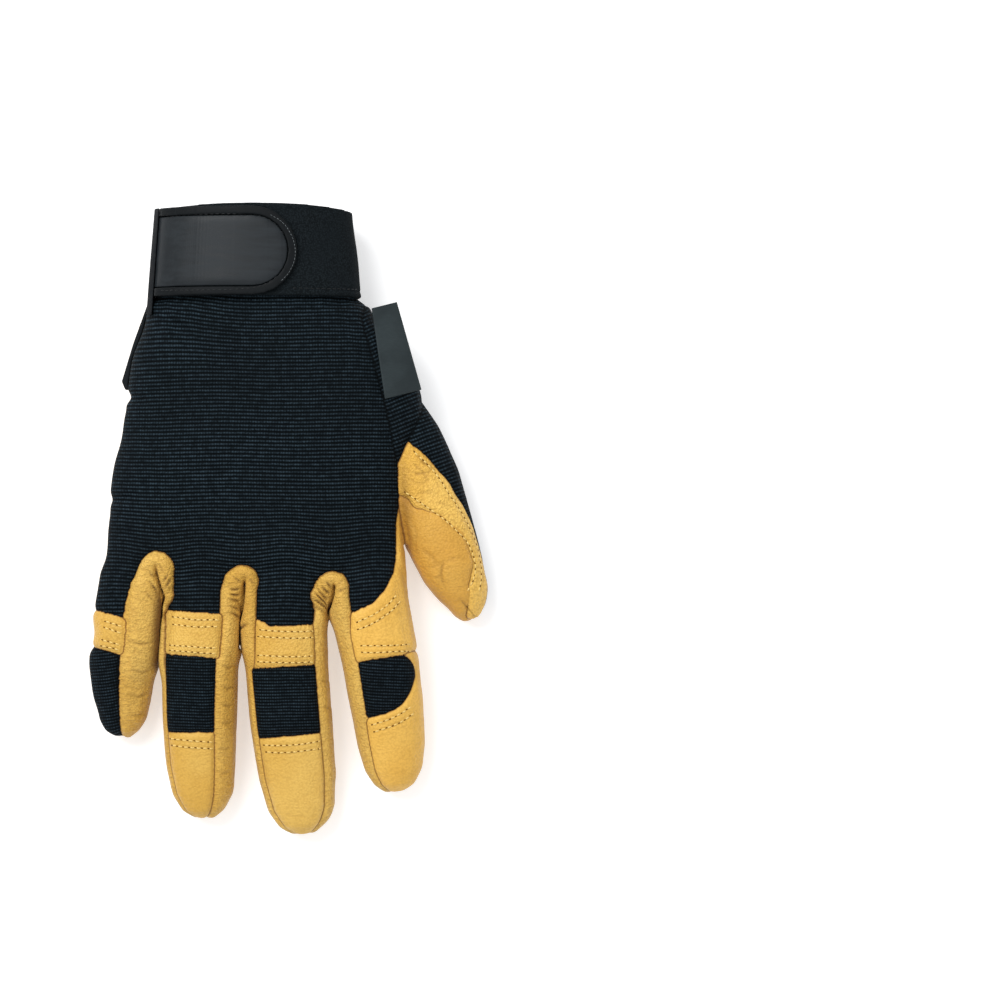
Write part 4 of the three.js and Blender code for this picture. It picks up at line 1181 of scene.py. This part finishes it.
def thread_finish(name, light, shade):
    made = Finish(name, Specular_IOR_Level=0.3, Roughness=0.5)
    inputs = {"Vector": made.where, "Scale": 1100.0, "Distortion": 1.5}
    twist = made.add("TexWave", inputs, bands_direction="DIAGONAL").outputs["Fac"]
    colour = made.mixed(made.ranged(twist, 0.2, 0.8), screen(*shade), screen(*light))
    return made.done(colour, (twist, 0.5, 0.06))


gold_stitches.data.materials.append(thread_finish("gold_thread", (240, 210, 132), (218, 180, 96)))
dark_stitches.data.materials.append(thread_finish("black_thread", (22, 25, 28), (8, 10, 12)))
pale_hairs.data.materials.append(thread_finish("hair_thread", (112, 118, 120), (70, 75, 78)))
# The dark patches in the needle holes are painted shade
hole = Finish("hole_shade", Specular_IOR_Level=0.1, Roughness=0.9)
colour = hole.mixed(hole.noise(2500.0), screen(88, 56, 16), screen(124, 84, 30))
hole_shade_patches.data.materials.append(hole.done(colour))
cloth = Finish("lining_cloth", Specular_IOR_Level=0.05, Roughness=0.95)
nap = cloth.noise(900.0, 4.0)
colour = cloth.mixed(cloth.ranged(nap, 0.3, 0.7), screen(26, 30, 34), screen(46, 52, 57))
lining_cloth = cloth.done(colour, (nap, 0.6, 0.25))
for o in [liner] + [pieces[node] for node in ("palm_panel", "back_panel", "thumb_gusset")]:
    o.data.materials.append(lining_cloth)

# %% [markdown]
# Table and light
#
# The floor is a plain pale light table, which glows a little, so that no dark shadow falls between the
# fingers. The light is soft: a bright room all round, one big lamp above and a little to the left, and
# a weaker one from the right, so that the folds show but no hard shadow falls.

# %% Table
bpy.ops.object.select_all(action="DESELECT")
bpy.ops.mesh.primitive_plane_add(size=4, location=(0, 0, 0))
table = bpy.context.object
table.name = "pale_table"
GLOW = 0.45
pale = Finish("pale_table", Specular_IOR_Level=0.1, Roughness=0.9)
pale.set(Emission_Color=(1, 1, 1, 1), Emission_Strength=GLOW)
colour = pale.mixed(pale.noise(2.0), screen(226, 226, 226), screen(230, 230, 230))
table.data.materials.append(pale.done(colour))

# %% Light
world = bpy.data.worlds.new("bright_room")
bpy.context.scene.world = world
world.use_nodes = True
nodes, connect = world.node_tree.nodes, world.node_tree.links.new
room = nodes["Background"]
direction = nodes.new("ShaderNodeTexCoord")
heights = nodes.new("ShaderNodeSeparateXYZ")
brighter_above = nodes.new("ShaderNodeMapRange")
for key, value in (("From Min", 0.0), ("From Max", 1.0), ("To Min", 0.4), ("To Max", 0.9)):
    brighter_above.inputs[key].default_value = value
connect(direction.outputs["Generated"], heights.inputs[0])
connect(heights.outputs["Z"], brighter_above.inputs["Value"])
connect(brighter_above.outputs["Result"], room.inputs["Strength"])
room.inputs["Color"].default_value = (0.97, 0.98, 1.0, 1)


def lamp(name, place, size, power):
    bpy.ops.object.select_all(action="DESELECT")
    bpy.ops.object.light_add(type="AREA", location=place)
    light = bpy.context.object
    light.name = name
    light.data.shape = "DISK"
    light.data.size = size
    light.data.energy = power
    light.rotation_euler = (-light.location).to_track_quat("-Z", "Y").to_euler()
    print(name, "of", power, "W")


lamp("key_lamp", (-0.45, 0.55, 1.0), 0.7, 11)
lamp("fill_lamp", (0.7, -0.4, 1.0), 0.9, 1)
bpy.context.scene.view_settings.view_transform = "Standard"
